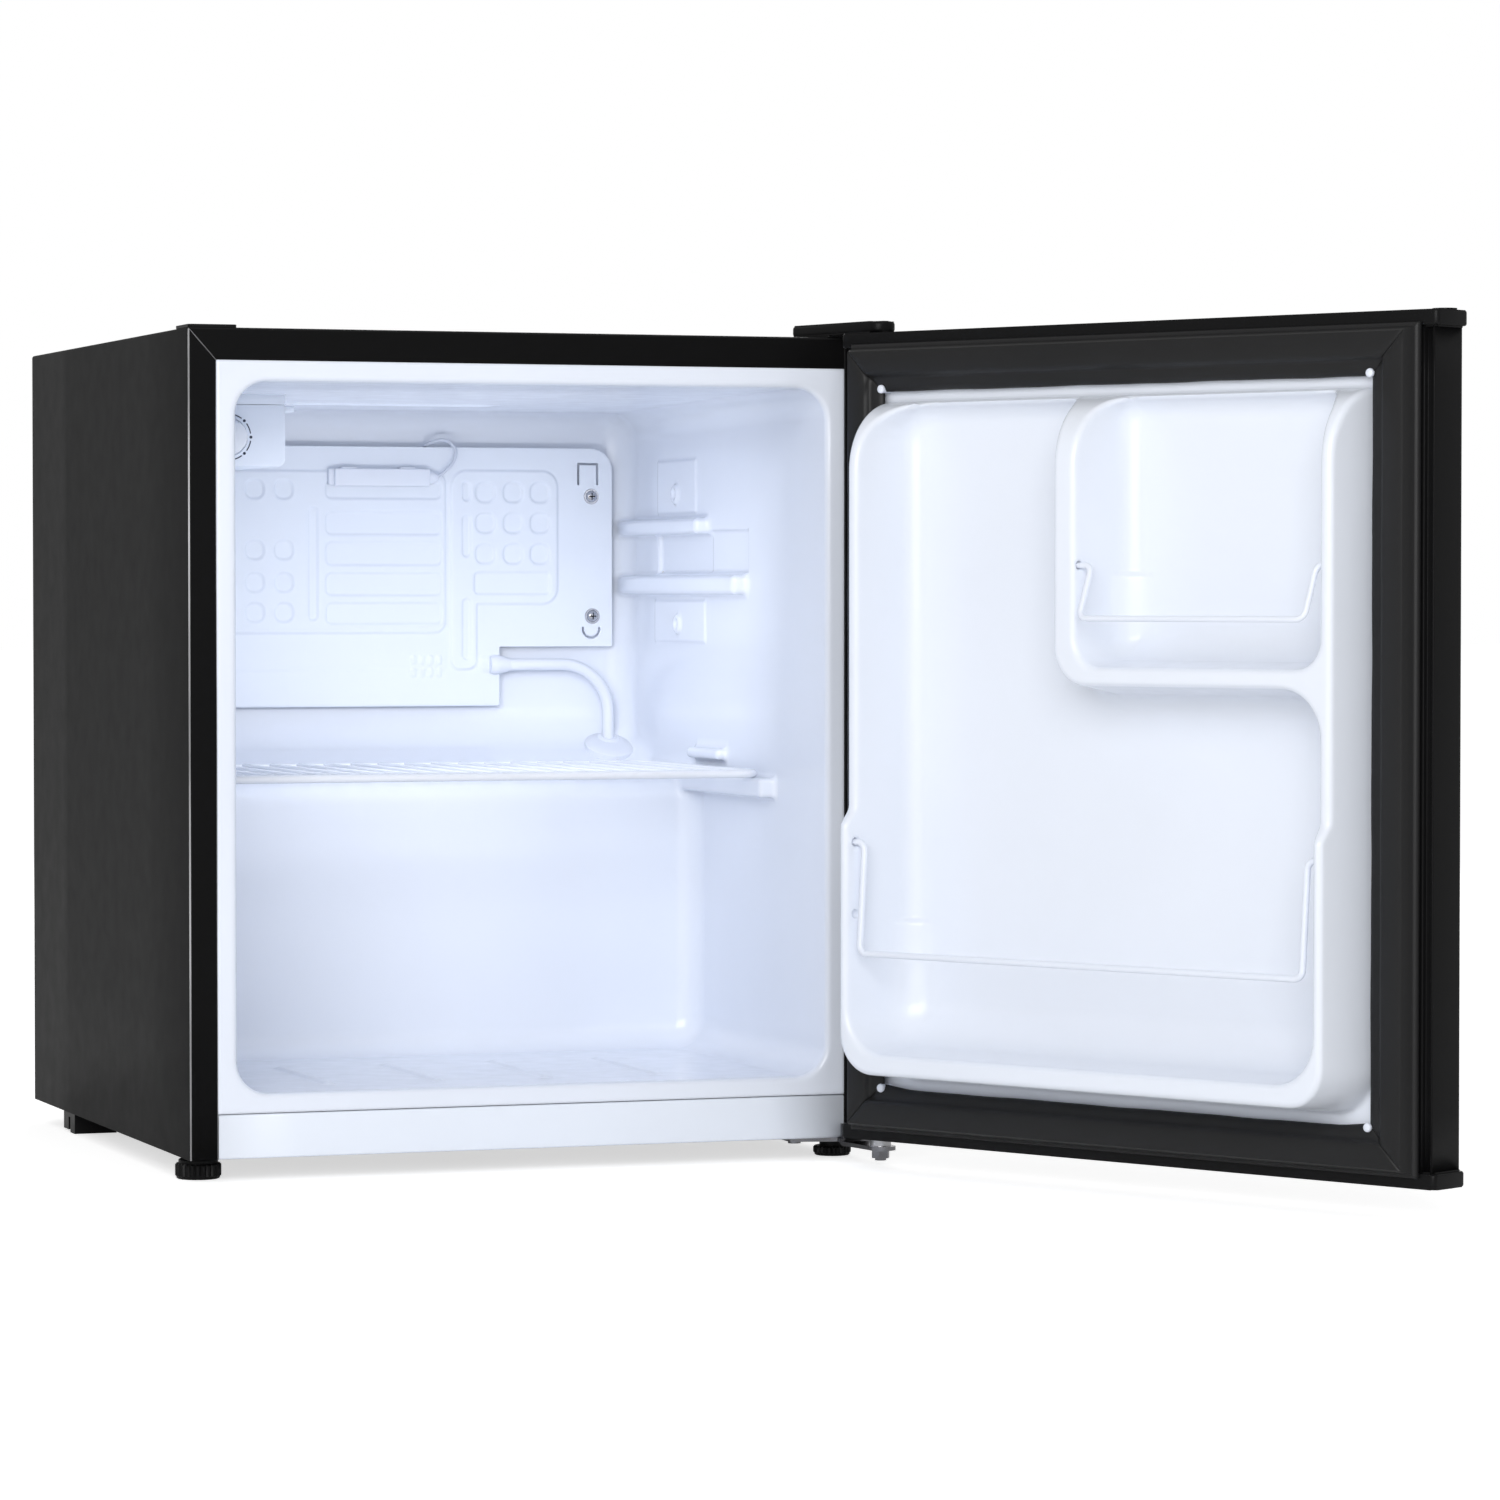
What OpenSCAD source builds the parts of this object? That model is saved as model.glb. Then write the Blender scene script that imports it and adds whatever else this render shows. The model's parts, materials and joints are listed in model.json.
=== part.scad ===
// Compact single-door refrigerator of the 46 litre class.
// Steel cabinet and door, foamed walls, thermoformed liners, a roll-bond evaporator
// plate and a sealed cooling circuit in a machine bay at the lower back.
// Origin: centre of the cabinet's footprint, on the floor. +X right, -Y front, +Z up.

/* [Cabinet] */
// Width of the cabinet
cab_w = 438; // [430:1:450]
// Depth of the cabinet without its door
cab_d = 430; // [430:1:440]
// Height of the cabinet above its feet
cab_h = 500; // [495:1:510]
// Height of the feet under the cabinet
foot_h = 14; // [14:0.5:16]
// Thickness of the steel sheets
sheet_t = 0.7; // [0.5:0.1:0.8]
// Width of the front flange on the sides
flange_side = 18; // [16:0.5:20]
// Height of the front flange at the top
flange_top = 20; // [18:0.5:22]
// Height of the beam under the door opening
beam_h = 27.5; // [26:0.5:28]

/* [Interior] */
// Thickness of the thermoformed liners
liner_t = 1.2; // [1:0.1:1.5]
// Side wall from the outside to the inside
wall_side = 30; // [28:0.5:32]
// Top wall from the outside to the inside
wall_top = 33; // [32:0.5:36]
// Floor from the outside to the inside
wall_floor = 39; // [38:0.5:42]
// Rear wall from the outside to the inside
wall_rear = 47; // [46:0.5:50]
// Corner radius of the interior
cavity_r = 20; // [16:1:24]
// Height of the compressor hump above the interior floor
hump_h = 179; // [176:1:184]
// Depth of the compressor hump
hump_d = 140; // [136:1:142]
// Slope of the hump's back ledge, in degrees
ledge_slope = 26; // [24:1:28]

/* [Door] */
// Angle at which the door stands open, in degrees
door_open = 117.7; // [0:0.1:130]
// Width of the door
door_w = 443; // [440:1:450]
// Thickness of the door body
door_t = 30; // [29:0.5:32]
// Gap between the door body and the cabinet, which the gasket fills
door_gap = 12; // [11.8:0.1:13]
// Height of the door's bottom edge above the floor
door_z0 = 18; // [17.8:0.1:18.4]
// Distance from the door's side to the hinge axis
hinge_inset = 10; // [9:0.5:11]
// Depth of the raised pocket walls of the door liner
dyke_d = 42; // [38:0.5:44]
// Extra depth of the pocket walls around the lower bin
bin_extra = 8; // [6:0.5:10]
// Height of the moulded end caps
cap_h = 9.5; // [9:0.5:11]

/* [Shelf] */
// Height of the wire shelf above the floor
shelf_z = 239; // [238.8:0.1:240]
// Depth of the wire shelf
shelf_d = 218; // [200:1:220]
// Number of cross wires
shelf_wires = 18; // [12:1:20]
// Diameter of the shelf's frame wire
frame_wire = 5.2; // [4.8:0.1:5.2]
// Diameter of the thin wires
thin_wire = 2.8; // [2:0.1:3.2]
// Diameter of the bottle retainers' wire
retainer_wire = 4; // [3.5:0.1:4.2]

/* [Cooling] */
// Radius of the compressor shell
comp_r = 58; // [54:1:60]
// Height of the compressor shell
comp_h = 133; // [125:1:135]
// Diameter of the refrigerant tubes
tube_d = 6.4; // [5:0.1:6.4]
// Diameter of the condenser tube
condenser_d = 4.8; // [4:0.1:5]
// Number of condenser runs
condenser_runs = 10; // [6:2:10]

/* [Hidden] */
$fn = 48;

// cabinet outline
half_w = cab_w / 2;
front_y = -cab_d / 2;
rear_y = cab_d / 2;
cab_z0 = foot_h;
cab_z1 = foot_h + cab_h;
inner_w = half_w - sheet_t;
open_half = half_w - flange_side;
beam_z = cab_z0 + beam_h;
beam_d = 12;
floor_flange = 26;

// interior outline
cav_half = half_w - wall_side;
cav_z0 = cab_z0 + wall_floor;
cav_z1 = cab_z1 - wall_top;
cav_y1 = rear_y - wall_rear;
hump_y = cav_y1 - hump_d;
hump_z = cav_z0 + hump_h;
ledge_y = cav_y1 - 50;
hump_r = 14;

// machine bay
bay_y = hump_y + liner_t + 24.8;
bay_z = hump_z - 32;
base_z = cab_z0 + sheet_t;
plate_t = 1.5;
base_top = base_z + plate_t;
foam_rear = rear_y - 9;

// hinge and door, described with the door shut
door_half = door_w / 2;
door_y1 = front_y - door_gap;
door_y0 = door_y1 - door_t;
door_z1 = cab_z1 + 0.5;
hinge_x = door_half - hinge_inset;
hinge_y = door_y0 + 5.5;
pin_r = 3.5;
bush_clear = 0.05;
bush_r = 4.7;
skin_z0 = door_z0 + cap_h;
skin_z1 = door_z1 - cap_h;
cap_out = 2;
gasket_half = 213;
gasket_in = 183;
gasket_clear = 0.3;
liner_half = 210;
recess_half = 166;
recess_d = 4;
dyke_half = 181.5;
dyke_in = 173;
dyke_z0 = door_z0 + 42;
dyke_z1 = door_z1 - 44;
bin_z = door_z0 + 200;
rib_x0 = 4.5;
rib_x1 = 20;
rib_z0 = door_z0 + 283;
rib_z1 = rib_z0 + 10.5;
gasket_z0 = door_z0 + 6;
gasket_z1 = door_z1 - 7;
gasket_lip = 27.5;

// shelf
shelf_half = cav_half - 7.7;
shelf_y0 = -112;
rail_top = shelf_z - frame_wire / 2 - 0.1;

// small parts
foot_x = half_w - 13.5;
foot_y = front_y + 33;
stud_r = 4;
screw_r = 2;
comp_x = -45;
comp_y = bay_y + 78;
comp_z = base_top + 15.8;
stat_x0 = -cav_half + 1;
stat_x1 = -112;
stat_y0 = -40;
stat_z0 = cav_z1 - 46;
stat_z1 = cav_z1 - 7;
dial_x = -149;
dial_z = stat_z0 + 18.5;
plate_y = cav_y1 - 9;
evap_t = 1.6;
evap_right = 172.5;
evap_left = -150;
evap_top = cav_z1 - 27;
evap_mid = cav_z1 - 163;
evap_low = cav_z1 - 203;
evap_step = 92;
evap_bolts = [[157.6, evap_top - 33], [158.3, evap_top - 115], [-138, evap_top - 33], [-138, evap_low + 20]];
tube_r = tube_d / 2;
sleeve_r = 4.2;
riser_x = 169;
riser_y = plate_y - 2;
grommet_y = riser_y - 8;
retainer_y = door_y1 + 42;
top_screws = [[193, front_y + 28], [208, front_y + 28]];
condenser_y = rear_y - sheet_t - condenser_d / 2;
feed_x = -180;
dryer_x = -203;
dryer_y = condenser_y - 17;
gland_x = 72;
gland_z = base_top + 12;
suction_z = comp_z + 92;
discharge_z = comp_z + 84;
discharge_y = comp_y + 10;
bottom_screws = [[176, front_y + 22], [188, front_y + 50]];

// ---------- helpers ----------

// cuboid between two corners
module box(lo, hi) {
    translate(lo) cube(hi - lo);
}

// outline drawn as (x, z), drawn out along Y
module along_y(y0, y1) {
    translate([0, y1, 0]) rotate([90, 0, 0]) linear_extrude(y1 - y0) children();
}

// outline drawn as (y, z), drawn out along X
module along_x(x0, x1) {
    translate([x0, 0, 0]) rotate([90, 0, 90]) linear_extrude(x1 - x0) children();
}

// outline drawn as (x, y), drawn out along Z
module along_z(z0, z1) {
    translate([0, 0, z0]) linear_extrude(z1 - z0) children();
}

module rod_x(x0, x1, y, z, r) {
    translate([x0, y, z]) rotate([0, 90, 0]) cylinder(h = x1 - x0, r = r);
}

module rod_y(y0, y1, x, z, r) {
    translate([x, y1, z]) rotate([90, 0, 0]) cylinder(h = y1 - y0, r = r);
}

module rod_z(z0, z1, x, y, r) {
    translate([x, y, z0]) cylinder(h = z1 - z0, r = r);
}

// rectangle with round corners, lower left corner at the origin
module rounded(w, h, r) {
    translate([r, 0]) square([w - 2 * r, h]);
    translate([0, r]) square([w, h - 2 * r]);
    for (x = [r, w - r], y = [r, h - r]) translate([x, y]) circle(r);
}

// places children on both sides of the cabinet
module both_sides() {
    children();
    mirror([1, 0, 0]) children();
}

function unit(v) = v / norm(v);

// straight round bar between two points
module rod(p, q, r) {
    d = q - p;
    translate(p) rotate([0, acos(d[2] / norm(d)), atan2(d[1], d[0])]) cylinder(h = norm(d), r = r);
}

// quarter-turn elbow that leaves point p along u and arrives along v
module elbow(p, u, v, bend, r) {
    w = cross(u, v);
    c = p - u * bend + v * bend;
    multmatrix([[-v[0], u[0], w[0], c[0]], [-v[1], u[1], w[1], c[1]], [-v[2], u[2], w[2], c[2]], [0, 0, 0, 1]])
        rotate_extrude(angle = 90) translate([bend, 0]) circle(r);
}

// round bar along a path with right-angled turns, all bent to one radius
module pipe(path, bend, r) {
    last = len(path) - 1;
    for (i = [0:last - 1]) {
        u = unit(path[i + 1] - path[i]);
        a = i == 0 ? path[i] : path[i] + u * bend;
        b = i == last - 1 ? path[i + 1] : path[i + 1] - u * bend;
        rod(a, b, r);
    }
    for (i = [1:last - 1])
        elbow(path[i], unit(path[i] - path[i - 1]), unit(path[i + 1] - path[i]), bend, r);
}

// ---------- cabinet ----------

// side section of the compressor hump and its back ledge, pulled back by g
module hump_profile(g) {
    y = hump_y + g;
    z = hump_z - g;
    r = hump_r - g;
    low = cav_z0 - 5;
    back = cav_y1 + 5;
    ledge = ledge_y + (g / cos(ledge_slope) - g) / tan(ledge_slope);
    back_z = z + (back - ledge) * tan(ledge_slope);
    polygon([[y, low], [y, z - r], [y + r, z - r], [y + r, z], [ledge, z], [back, back_z], [back, low]]);
    translate([y + r, z - r]) circle(r);
}

// the interior space, grown by g on every side
module cavity(g, from_y) {
    difference() {
        along_y(from_y, cav_y1 + g) translate([-cav_half - g, cav_z0 - g])
            rounded(2 * (cav_half + g), cav_z1 - cav_z0 + 2 * g, cavity_r + g);
        along_x(-cav_half - g - 1, cav_half + g + 1) hump_profile(g);
    }
}

// folded steel shell: both sides, the top and the front and bottom flanges
module cabinet_wrap() {
    color([0.2, 0.2, 0.21]) difference() {
        box([-half_w, front_y, cab_z0], [half_w, rear_y, cab_z1]);
        box([-inner_w, front_y + sheet_t, cab_z0 + sheet_t], [inner_w, rear_y + 1, cab_z1 - sheet_t]);
        box([-open_half, front_y - 1, cab_z0 - 1], [open_half, front_y + 2, cab_z1 - flange_top]);
        box([-open_half, front_y - 1, cab_z0 - 1], [open_half, front_y + beam_d, cab_z0 + 2]);
        box([floor_flange - half_w, front_y - 1, cab_z0 - 1], [half_w - floor_flange, rear_y + 1, cab_z0 + 2]);
        both_sides() rod_z(cab_z0 - 1, base_top, foot_x, foot_y, stud_r + 0.5);
        for (s = top_screws) both_sides() rod_z(cab_z1 - 2, cab_z1 + 1, s[0], s[1], screw_r);
    }
}

// rigid foam that fills the cabinet walls
module cabinet_foam() {
    color([0.93, 0.87, 0.66]) difference() {
        box([-inner_w, front_y + liner_t, base_top], [inner_w, foam_rear, cab_z1 - sheet_t]);
        difference() {
            union() {
                cavity(liner_t, front_y);
                both_sides() side_ribs(0);
            }
            both_sides() side_ribs(liner_t);
        }
        box([-open_half, front_y, cab_z0], [open_half, front_y + beam_d, beam_z]);
        box([-half_w, bay_y, cab_z0], [half_w, rear_y, bay_z]);
        hinge_backing_plates();
        both_sides() rod_z(cab_z0, base_top + 24, foot_x, foot_y, 8);
        for (s = top_screws) both_sides() rod_z(cab_z1 - 22, cab_z1, s[0], s[1], screw_r);
        for (s = bottom_screws) rod_z(cab_z0, cab_z0 + 18, s[0], s[1], screw_r);
        for (b = evap_bolts) rod_y(cav_y1, cav_y1 + 12, b[0], b[1], screw_r);
        riser_hole();
        drain_hole();
    }
}

// passage of the evaporator tube through the ledge
module riser_hole() {
    rod_z(bay_z - 2, hump_z + 40, riser_x, riser_y, sleeve_r);
}

// passage of the drain through the ledge
module drain_hole() {
    rod_z(bay_z - 2, hump_z + 30, -20, cav_y1 - 16, 6);
}

// one white sheet: front flange, walls, compressor hump, shelf ribs and side rails
module inner_liner() {
    color([0.93, 0.95, 0.98]) difference() {
        union() {
            difference() {
                union() {
                    box([-open_half, front_y, beam_z], [open_half, front_y + liner_t, cab_z1 - flange_top]);
                    cavity(liner_t, front_y);
                }
                cavity(0, front_y - 1);
            }
            both_sides() side_ribs(0);
        }
        both_sides() side_ribs(liner_t);
        for (b = evap_bolts) rod_y(cav_y1 - 1, cav_y1 + 3, b[0], b[1], screw_r);
        riser_hole();
        drain_hole();
    }
}

// ribs moulded into one side wall, thinned by g and reaching as far into the wall
module side_ribs(g) {
    wall = cav_half + 0.5 + 2 * g;
    rib(cav_half - 10, wall, -126, 100, rail_top - 12, rail_top, g);
    rib(cav_half - 8, wall, -30, 28, shelf_z + 7, shelf_z + 13, g);
    rib(cav_half - 10, wall, 2, cav_y1 - 10, cav_z1 - 86, cav_z1 - 78, g);
    rib(cav_half - 10, wall, -72, cav_y1 - 10, cav_z1 - 126, cav_z1 - 116, g);
}

module rib(x0, x1, y0, y1, z0, z1, g) {
    box([x0 + g, y0 + g, z0 + g], [x1, y1 - g, z1 - g]);
}

// channel beam below the door opening
module front_beam() {
    color([0.93, 0.95, 0.98]) difference() {
        box([-open_half, front_y, cab_z0], [open_half, front_y + beam_d, beam_z]);
        box([-open_half + 2, front_y + 1.5, cab_z0 - 1], [open_half - 2, front_y + beam_d + 1, beam_z - 2]);
    }
}

// flat steel back
module back_panel() {
    color([0.2, 0.2, 0.21])
        box([-inner_w, rear_y - sheet_t, bay_z - 12], [inner_w, rear_y, cab_z1 - sheet_t]);
}

// folded sheet between the foam and the machine bay
module machine_bay_panel() {
    color([0.72, 0.73, 0.75]) difference() {
        along_x(-inner_w, inner_w) polygon([[bay_y, base_top], [bay_y, bay_z], [foam_rear, bay_z],
            [foam_rear, bay_z - sheet_t], [bay_y + sheet_t, bay_z - sheet_t], [bay_y + sheet_t, base_top]]);
        riser_hole();
        drain_hole();
    }
}

// steel sheet under the foam
module bottom_panel() {
    color([0.72, 0.73, 0.75]) difference() {
        box([-inner_w, front_y + beam_d, base_z], [inner_w, bay_y, base_top]);
        both_sides() rod_z(cab_z0, cab_z1, foot_x, foot_y, 7);
        for (s = bottom_screws) rod_z(cab_z0, cab_z1, s[0], s[1], screw_r);
    }
}

// steel plate that carries the compressor and stiffens the back of the base
module compressor_base_plate() {
    color([0.24, 0.24, 0.25]) difference() {
        union() {
            box([-inner_w, bay_y, base_z], [inner_w, rear_y - 3, base_top]);
            box([-inner_w, rear_y - 3 - plate_t, base_z], [inner_w, rear_y - 3, base_top + 10]);
            box([gland_x - 18, rear_y - 3 - plate_t, base_z], [gland_x + 18, rear_y - 3, base_top + 24]);
        }
        rod_y(rear_y - 10, rear_y, gland_x, gland_z, 6);
        compressor_corners() rod_z(cab_z0, cab_z1, 0, 0, 3);
    }
}

// two-pronged moulded feet under the back of the cabinet
module rear_feet() {
    color([0.06, 0.06, 0.06]) both_sides() difference() {
        box([half_w - 31, 108, 0], [half_w - 3, 140, cab_z0]);
        box([half_w - 32, 121, -1], [half_w - 2, 126, cab_z0 - 4]);
        box([half_w - 32, 126, -1], [half_w - 2, 141, 1.5]);
    }
}

// threaded inserts that the front feet screw into
module foot_inserts() {
    color([0.75, 0.75, 0.77]) both_sides() difference() {
        union() {
            rod_z(base_z, base_top, foot_x, foot_y, 7);
            rod_z(base_top, base_top + 24, foot_x, foot_y, 8);
        }
        rod_z(cab_z0, base_top + 30, foot_x, foot_y, stud_r + bush_clear);
    }
}

// knurled levelling foot with its threaded stud
module levelling_foot(x, grip_r, grip_h, neck_r, neck_z) {
    color([0.06, 0.06, 0.06]) {
        difference() {
            rod_z(0, grip_h, x, foot_y, grip_r);
            for (a = [0:15:345]) translate([x, foot_y, 1.5]) rotate(a) translate([grip_r + 0.4, 0, 0])
                cylinder(h = grip_h, r = 0.9);
        }
        rod_z(grip_h, neck_z, x, foot_y, neck_r);
        rod_z(neck_z, base_top + 22, x, foot_y, stud_r);
    }
}

module front_left_foot() {
    levelling_foot(-foot_x, 14, 9.5, 12, cab_z0 - 2);
}

module front_right_foot() {
    levelling_foot(foot_x, 12, 6, 8, cab_z0 - 3);
}

// ---------- hinges ----------

module hinge_backing_plates() {
    color([0.72, 0.73, 0.75]) both_sides() difference() {
        box([176, front_y + 6, cab_z1 - sheet_t - 2], [half_w - 4, front_y + 44, cab_z1 - sheet_t]);
        for (s = top_screws) rod_z(cab_z0, cab_z1, s[0], s[1], screw_r);
    }
}

// plan outline of the top hinge, set in by g
module top_hinge_plan(g) {
    polygon([[178.5 + 1.33 * g, front_y + 40 - g], [203.5 + 0.75 * g, hinge_y - 10 + g],
        [218.5 - g, hinge_y - 10 + g], [218.5 - g, front_y + 40 - g]]);
}

// stepped steel plate screwed to the cabinet's top
module top_hinge_bracket() {
    step_y = front_y + 2;
    color([0.24, 0.24, 0.25]) difference() {
        intersection() {
            along_z(cab_z1, cab_z1 + 5) top_hinge_plan(2.5);
            along_x(160, 220) polygon([[hinge_y - 12, cab_z1 + 1.6], [step_y - 3, cab_z1 + 1.6], [step_y, cab_z1],
                [front_y + 42, cab_z1], [front_y + 42, cab_z1 + 2], [step_y + 0.8, cab_z1 + 2],
                [step_y - 2.2, cab_z1 + 3.6], [hinge_y - 12, cab_z1 + 3.6]]);
        }
        rod_z(cab_z0, cab_z1 + 9, hinge_x, hinge_y, pin_r);
        for (s = top_screws) rod_z(cab_z0, cab_z1 + 9, s[0], s[1], screw_r);
    }
}

module top_hinge_pin() {
    color([0.78, 0.78, 0.8]) rod_z(door_z1 - 14, cab_z1 + 3.6, hinge_x, hinge_y, pin_r);
}

// moulded hood over the top hinge
module top_hinge_cover() {
    color([0.06, 0.06, 0.06]) difference() {
        along_z(cab_z1, cab_z1 + 8.5) top_hinge_plan(0);
        along_z(cab_z1 - 1, cab_z1 + 6.8) top_hinge_plan(2);
        box([150, hinge_y - 20, cab_z1 - 1], [230, front_y - 1, cab_z1 + 1.2]);
    }
}

// pan-head screw from z down, with its head on top
module screw_down(x, y, z, length) {
    rod_z(z - length, z, x, y, screw_r);
    rod_z(z, z + 2.2, x, y, 4);
}

module top_hinge_screws() {
    color([0.3, 0.3, 0.32]) for (s = top_screws) screw_down(s[0], s[1], cab_z1 + 2, 20);
}

// blank cap over the unused hinge position at the left
module spare_hinge_cap() {
    color([0.06, 0.06, 0.06]) {
        difference() {
            box([-half_w + 1, front_y + 1, cab_z1], [-half_w + 31, front_y + 34, cab_z1 + 1.8]);
            for (x = [1, 31], y = [1, 34]) translate([-half_w + x, front_y + y, cab_z1 - 1]) rotate(45)
                cube([3, 3, 8], center = true);
        }
        for (s = top_screws) rod_z(cab_z1 - 10, cab_z1, -s[0], s[1], screw_r);
    }
}

// plan outline of the bottom hinge plate
module bottom_hinge_plan() {
    difference() {
        union() {
            polygon([[168, front_y + 62], [168, front_y + 8], [197, front_y + 1], [203.5, hinge_y],
                [220.5, hinge_y], [220.5, front_y + 1], [194, front_y + 14], [194, front_y + 62]]);
            translate([hinge_x + 0.5, hinge_y - 1]) circle(8.5);
        }
        for (s = bottom_screws) translate(s) circle(screw_r);
    }
}

// zinc-plated plate under the cabinet that carries the door
module bottom_hinge_bracket() {
    color([0.75, 0.75, 0.77]) difference() {
        union() {
            intersection() {
                along_z(cab_z0 - 5, cab_z0 + 1) bottom_hinge_plan();
                along_x(160, 230) polygon([[hinge_y - 12, cab_z0 - 4.5], [front_y - 4, cab_z0 - 4.5],
                    [front_y - 1, cab_z0 - 2.5], [front_y + 70, cab_z0 - 2.5], [front_y + 70, cab_z0],
                    [front_y - 2, cab_z0], [front_y - 5, cab_z0 - 2], [hinge_y - 12, cab_z0 - 2]]);
            }
            box([198.5, front_y - 3, cab_z0 - 2], [201, front_y - 0.7, cab_z0 + 9]);
        }
        rod_z(0, cab_z1, hinge_x, hinge_y, pin_r);
    }
}

module bottom_hinge_pin() {
    color([0.75, 0.75, 0.77]) rod_z(3, door_z0 + 14, hinge_x, hinge_y, pin_r);
}

module bottom_hinge_nut() {
    color([0.75, 0.75, 0.77]) difference() {
        translate([hinge_x, hinge_y, cab_z0 - 9.5]) cylinder(h = 5, r = 5.8, $fn = 6);
        rod_z(0, cab_z1, hinge_x, hinge_y, pin_r);
    }
}

module bottom_hinge_collar() {
    color([0.78, 0.78, 0.8]) difference() {
        rod_z(cab_z0 - 2, door_z0 - 0.5, hinge_x, hinge_y, 6.5);
        rod_z(0, cab_z1, hinge_x, hinge_y, pin_r);
    }
}

module bottom_hinge_screws() {
    color([0.75, 0.75, 0.77]) for (s = bottom_screws) {
        rod_z(cab_z0 - 2.5, cab_z0 + 18, s[0], s[1], screw_r);
        rod_z(cab_z0 - 4.7, cab_z0 - 2.5, s[0], s[1], 4);
    }
}

// ---------- machine bay ----------

module compressor_corners() {
    for (x = [-62, 62], y = [-40, 40]) translate([comp_x + x, comp_y + y, 0]) children();
}

// welded steel pot with its foot plate, terminal post and tube stubs
module compressor() {
    shoulder = 26;
    color([0.05, 0.05, 0.05]) difference() {
        union() {
            translate([comp_x, comp_y, comp_z]) rotate_extrude() {
                square([comp_r - shoulder, comp_h]);
                translate([0, shoulder]) square([comp_r, comp_h - 2 * shoulder]);
                for (z = [shoulder, comp_h - shoulder]) intersection() {
                    translate([comp_r - shoulder, z]) circle(shoulder);
                    square([comp_r, comp_h]);
                }
            }
            box([comp_x - 74, comp_y - 50, comp_z - 2], [comp_x + 74, comp_y + 50, comp_z + 1]);
            rod_x(comp_x + 40, comp_x + comp_r + 6, comp_y - 12, comp_z + 70, 13);
            rod_x(comp_x + 40, comp_x + comp_r + 2, riser_y, suction_z, tube_r + 0.8);
            rod_x(comp_x - comp_r - 4, comp_x - 40, discharge_y, discharge_z, condenser_d / 2 + 0.8);
        }
        compressor_corners() rod_z(0, comp_z + 2, 0, 0, 6);
    }
}

// rubber bushes between the compressor and the base plate
module compressor_grommets() {
    color([0.08, 0.08, 0.08]) compressor_corners() difference() {
        union() {
            rod_z(base_top, comp_z - 2, 0, 0, 9.5);
            rod_z(comp_z - 2, comp_z + 1.4, 0, 0, 5.9);
        }
        rod_z(0, comp_z + 5, 0, 0, 3);
    }
}

module compressor_studs() {
    color([0.75, 0.75, 0.77]) compressor_corners() {
        rod_z(base_z, comp_z + 6, 0, 0, 3);
        difference() {
            rod_z(comp_z + 1.4, comp_z + 4.4, 0, 0, 8);
            rod_z(comp_z, comp_z + 5, 0, 0, 3);
        }
    }
}

// start relay and overload protector, pushed onto the terminal post
module start_relay() {
    color([0.1, 0.1, 0.1])
        box([comp_x + comp_r + 6, comp_y - 30, comp_z + 52], [comp_x + comp_r + 28, comp_y + 4, comp_z + 90]);
}

module terminal_cover() {
    x0 = comp_x + comp_r + 1;
    color([0.12, 0.12, 0.12]) difference() {
        box([x0, comp_y - 36, comp_z + 46], [x0 + 29, comp_y + 10, comp_z + 96]);
        box([x0 - 1, comp_y - 34, comp_z + 48], [x0 + 27, comp_y + 8, comp_z + 94]);
    }
}

// steel serpentine clipped to the inside of the back panel
module condenser() {
    $fn = 24;
    pitch = 28;
    y = condenser_y;
    z0 = bay_z + 20;
    last = condenser_runs - 1;
    z1 = z0 + last * pitch;
    zigzag = [for (i = [0:last], e = [0, 1]) if (i < last || e == 0)
        [(i + e) % 2 == 0 ? feed_x : -feed_x, y, z0 + i * pitch]];
    color([0.1, 0.1, 0.1])
        pipe(concat([[feed_x, y, bay_z - 30]], zigzag, [[dryer_x, y, z1], [dryer_x, y, bay_z - 15],
            [dryer_x, dryer_y, bay_z - 15], [dryer_x, dryer_y, bay_z - 38]]), 8, condenser_d / 2);
}

// copper dryer under the condenser, with the capillary tube that leaves it
module filter_dryer() {
    $fn = 28;
    x = riser_x + tube_r + 1.1;
    color([0.72, 0.43, 0.25]) {
        rod_z(bay_z - 118, bay_z - 46, dryer_x, dryer_y, 9);
        rod_z(bay_z - 46, bay_z - 38, dryer_x, dryer_y, 4);
        rod_z(bay_z - 126, bay_z - 118, dryer_x, dryer_y, 4);
        pipe([[dryer_x, dryer_y, bay_z - 122], [dryer_x, dryer_y, 56], [x, dryer_y, 56], [x, riser_y, 56],
            [x, riser_y, bay_z - 6]], 10, 1.1);
    }
}

// copper return tube from the evaporator down to the compressor
module suction_line() {
    color([0.72, 0.43, 0.25])
        pipe([[riser_x, riser_y, hump_z + 3], [riser_x, riser_y, suction_z],
            [comp_x + comp_r + 2, riser_y, suction_z]], 18, tube_r);
}

// steel tube from the compressor to the condenser
module discharge_line() {
    color([0.1, 0.1, 0.1])
        pipe([[comp_x - comp_r - 4, discharge_y, discharge_z], [feed_x, discharge_y, discharge_z],
            [feed_x, condenser_y, discharge_z], [feed_x, condenser_y, bay_z - 30]], 12, condenser_d / 2);
}

// tray on top of the compressor that catches and dries the melt water
module evaporation_pan() {
    z = comp_z + comp_h;
    color([0.85, 0.86, 0.88]) difference() {
        box([comp_x - 55, comp_y - 48, z], [comp_x + 55, comp_y + 62, z + 16]);
        box([comp_x - 53, comp_y - 46, z + 2], [comp_x + 53, comp_y + 60, z + 17]);
    }
}

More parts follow.
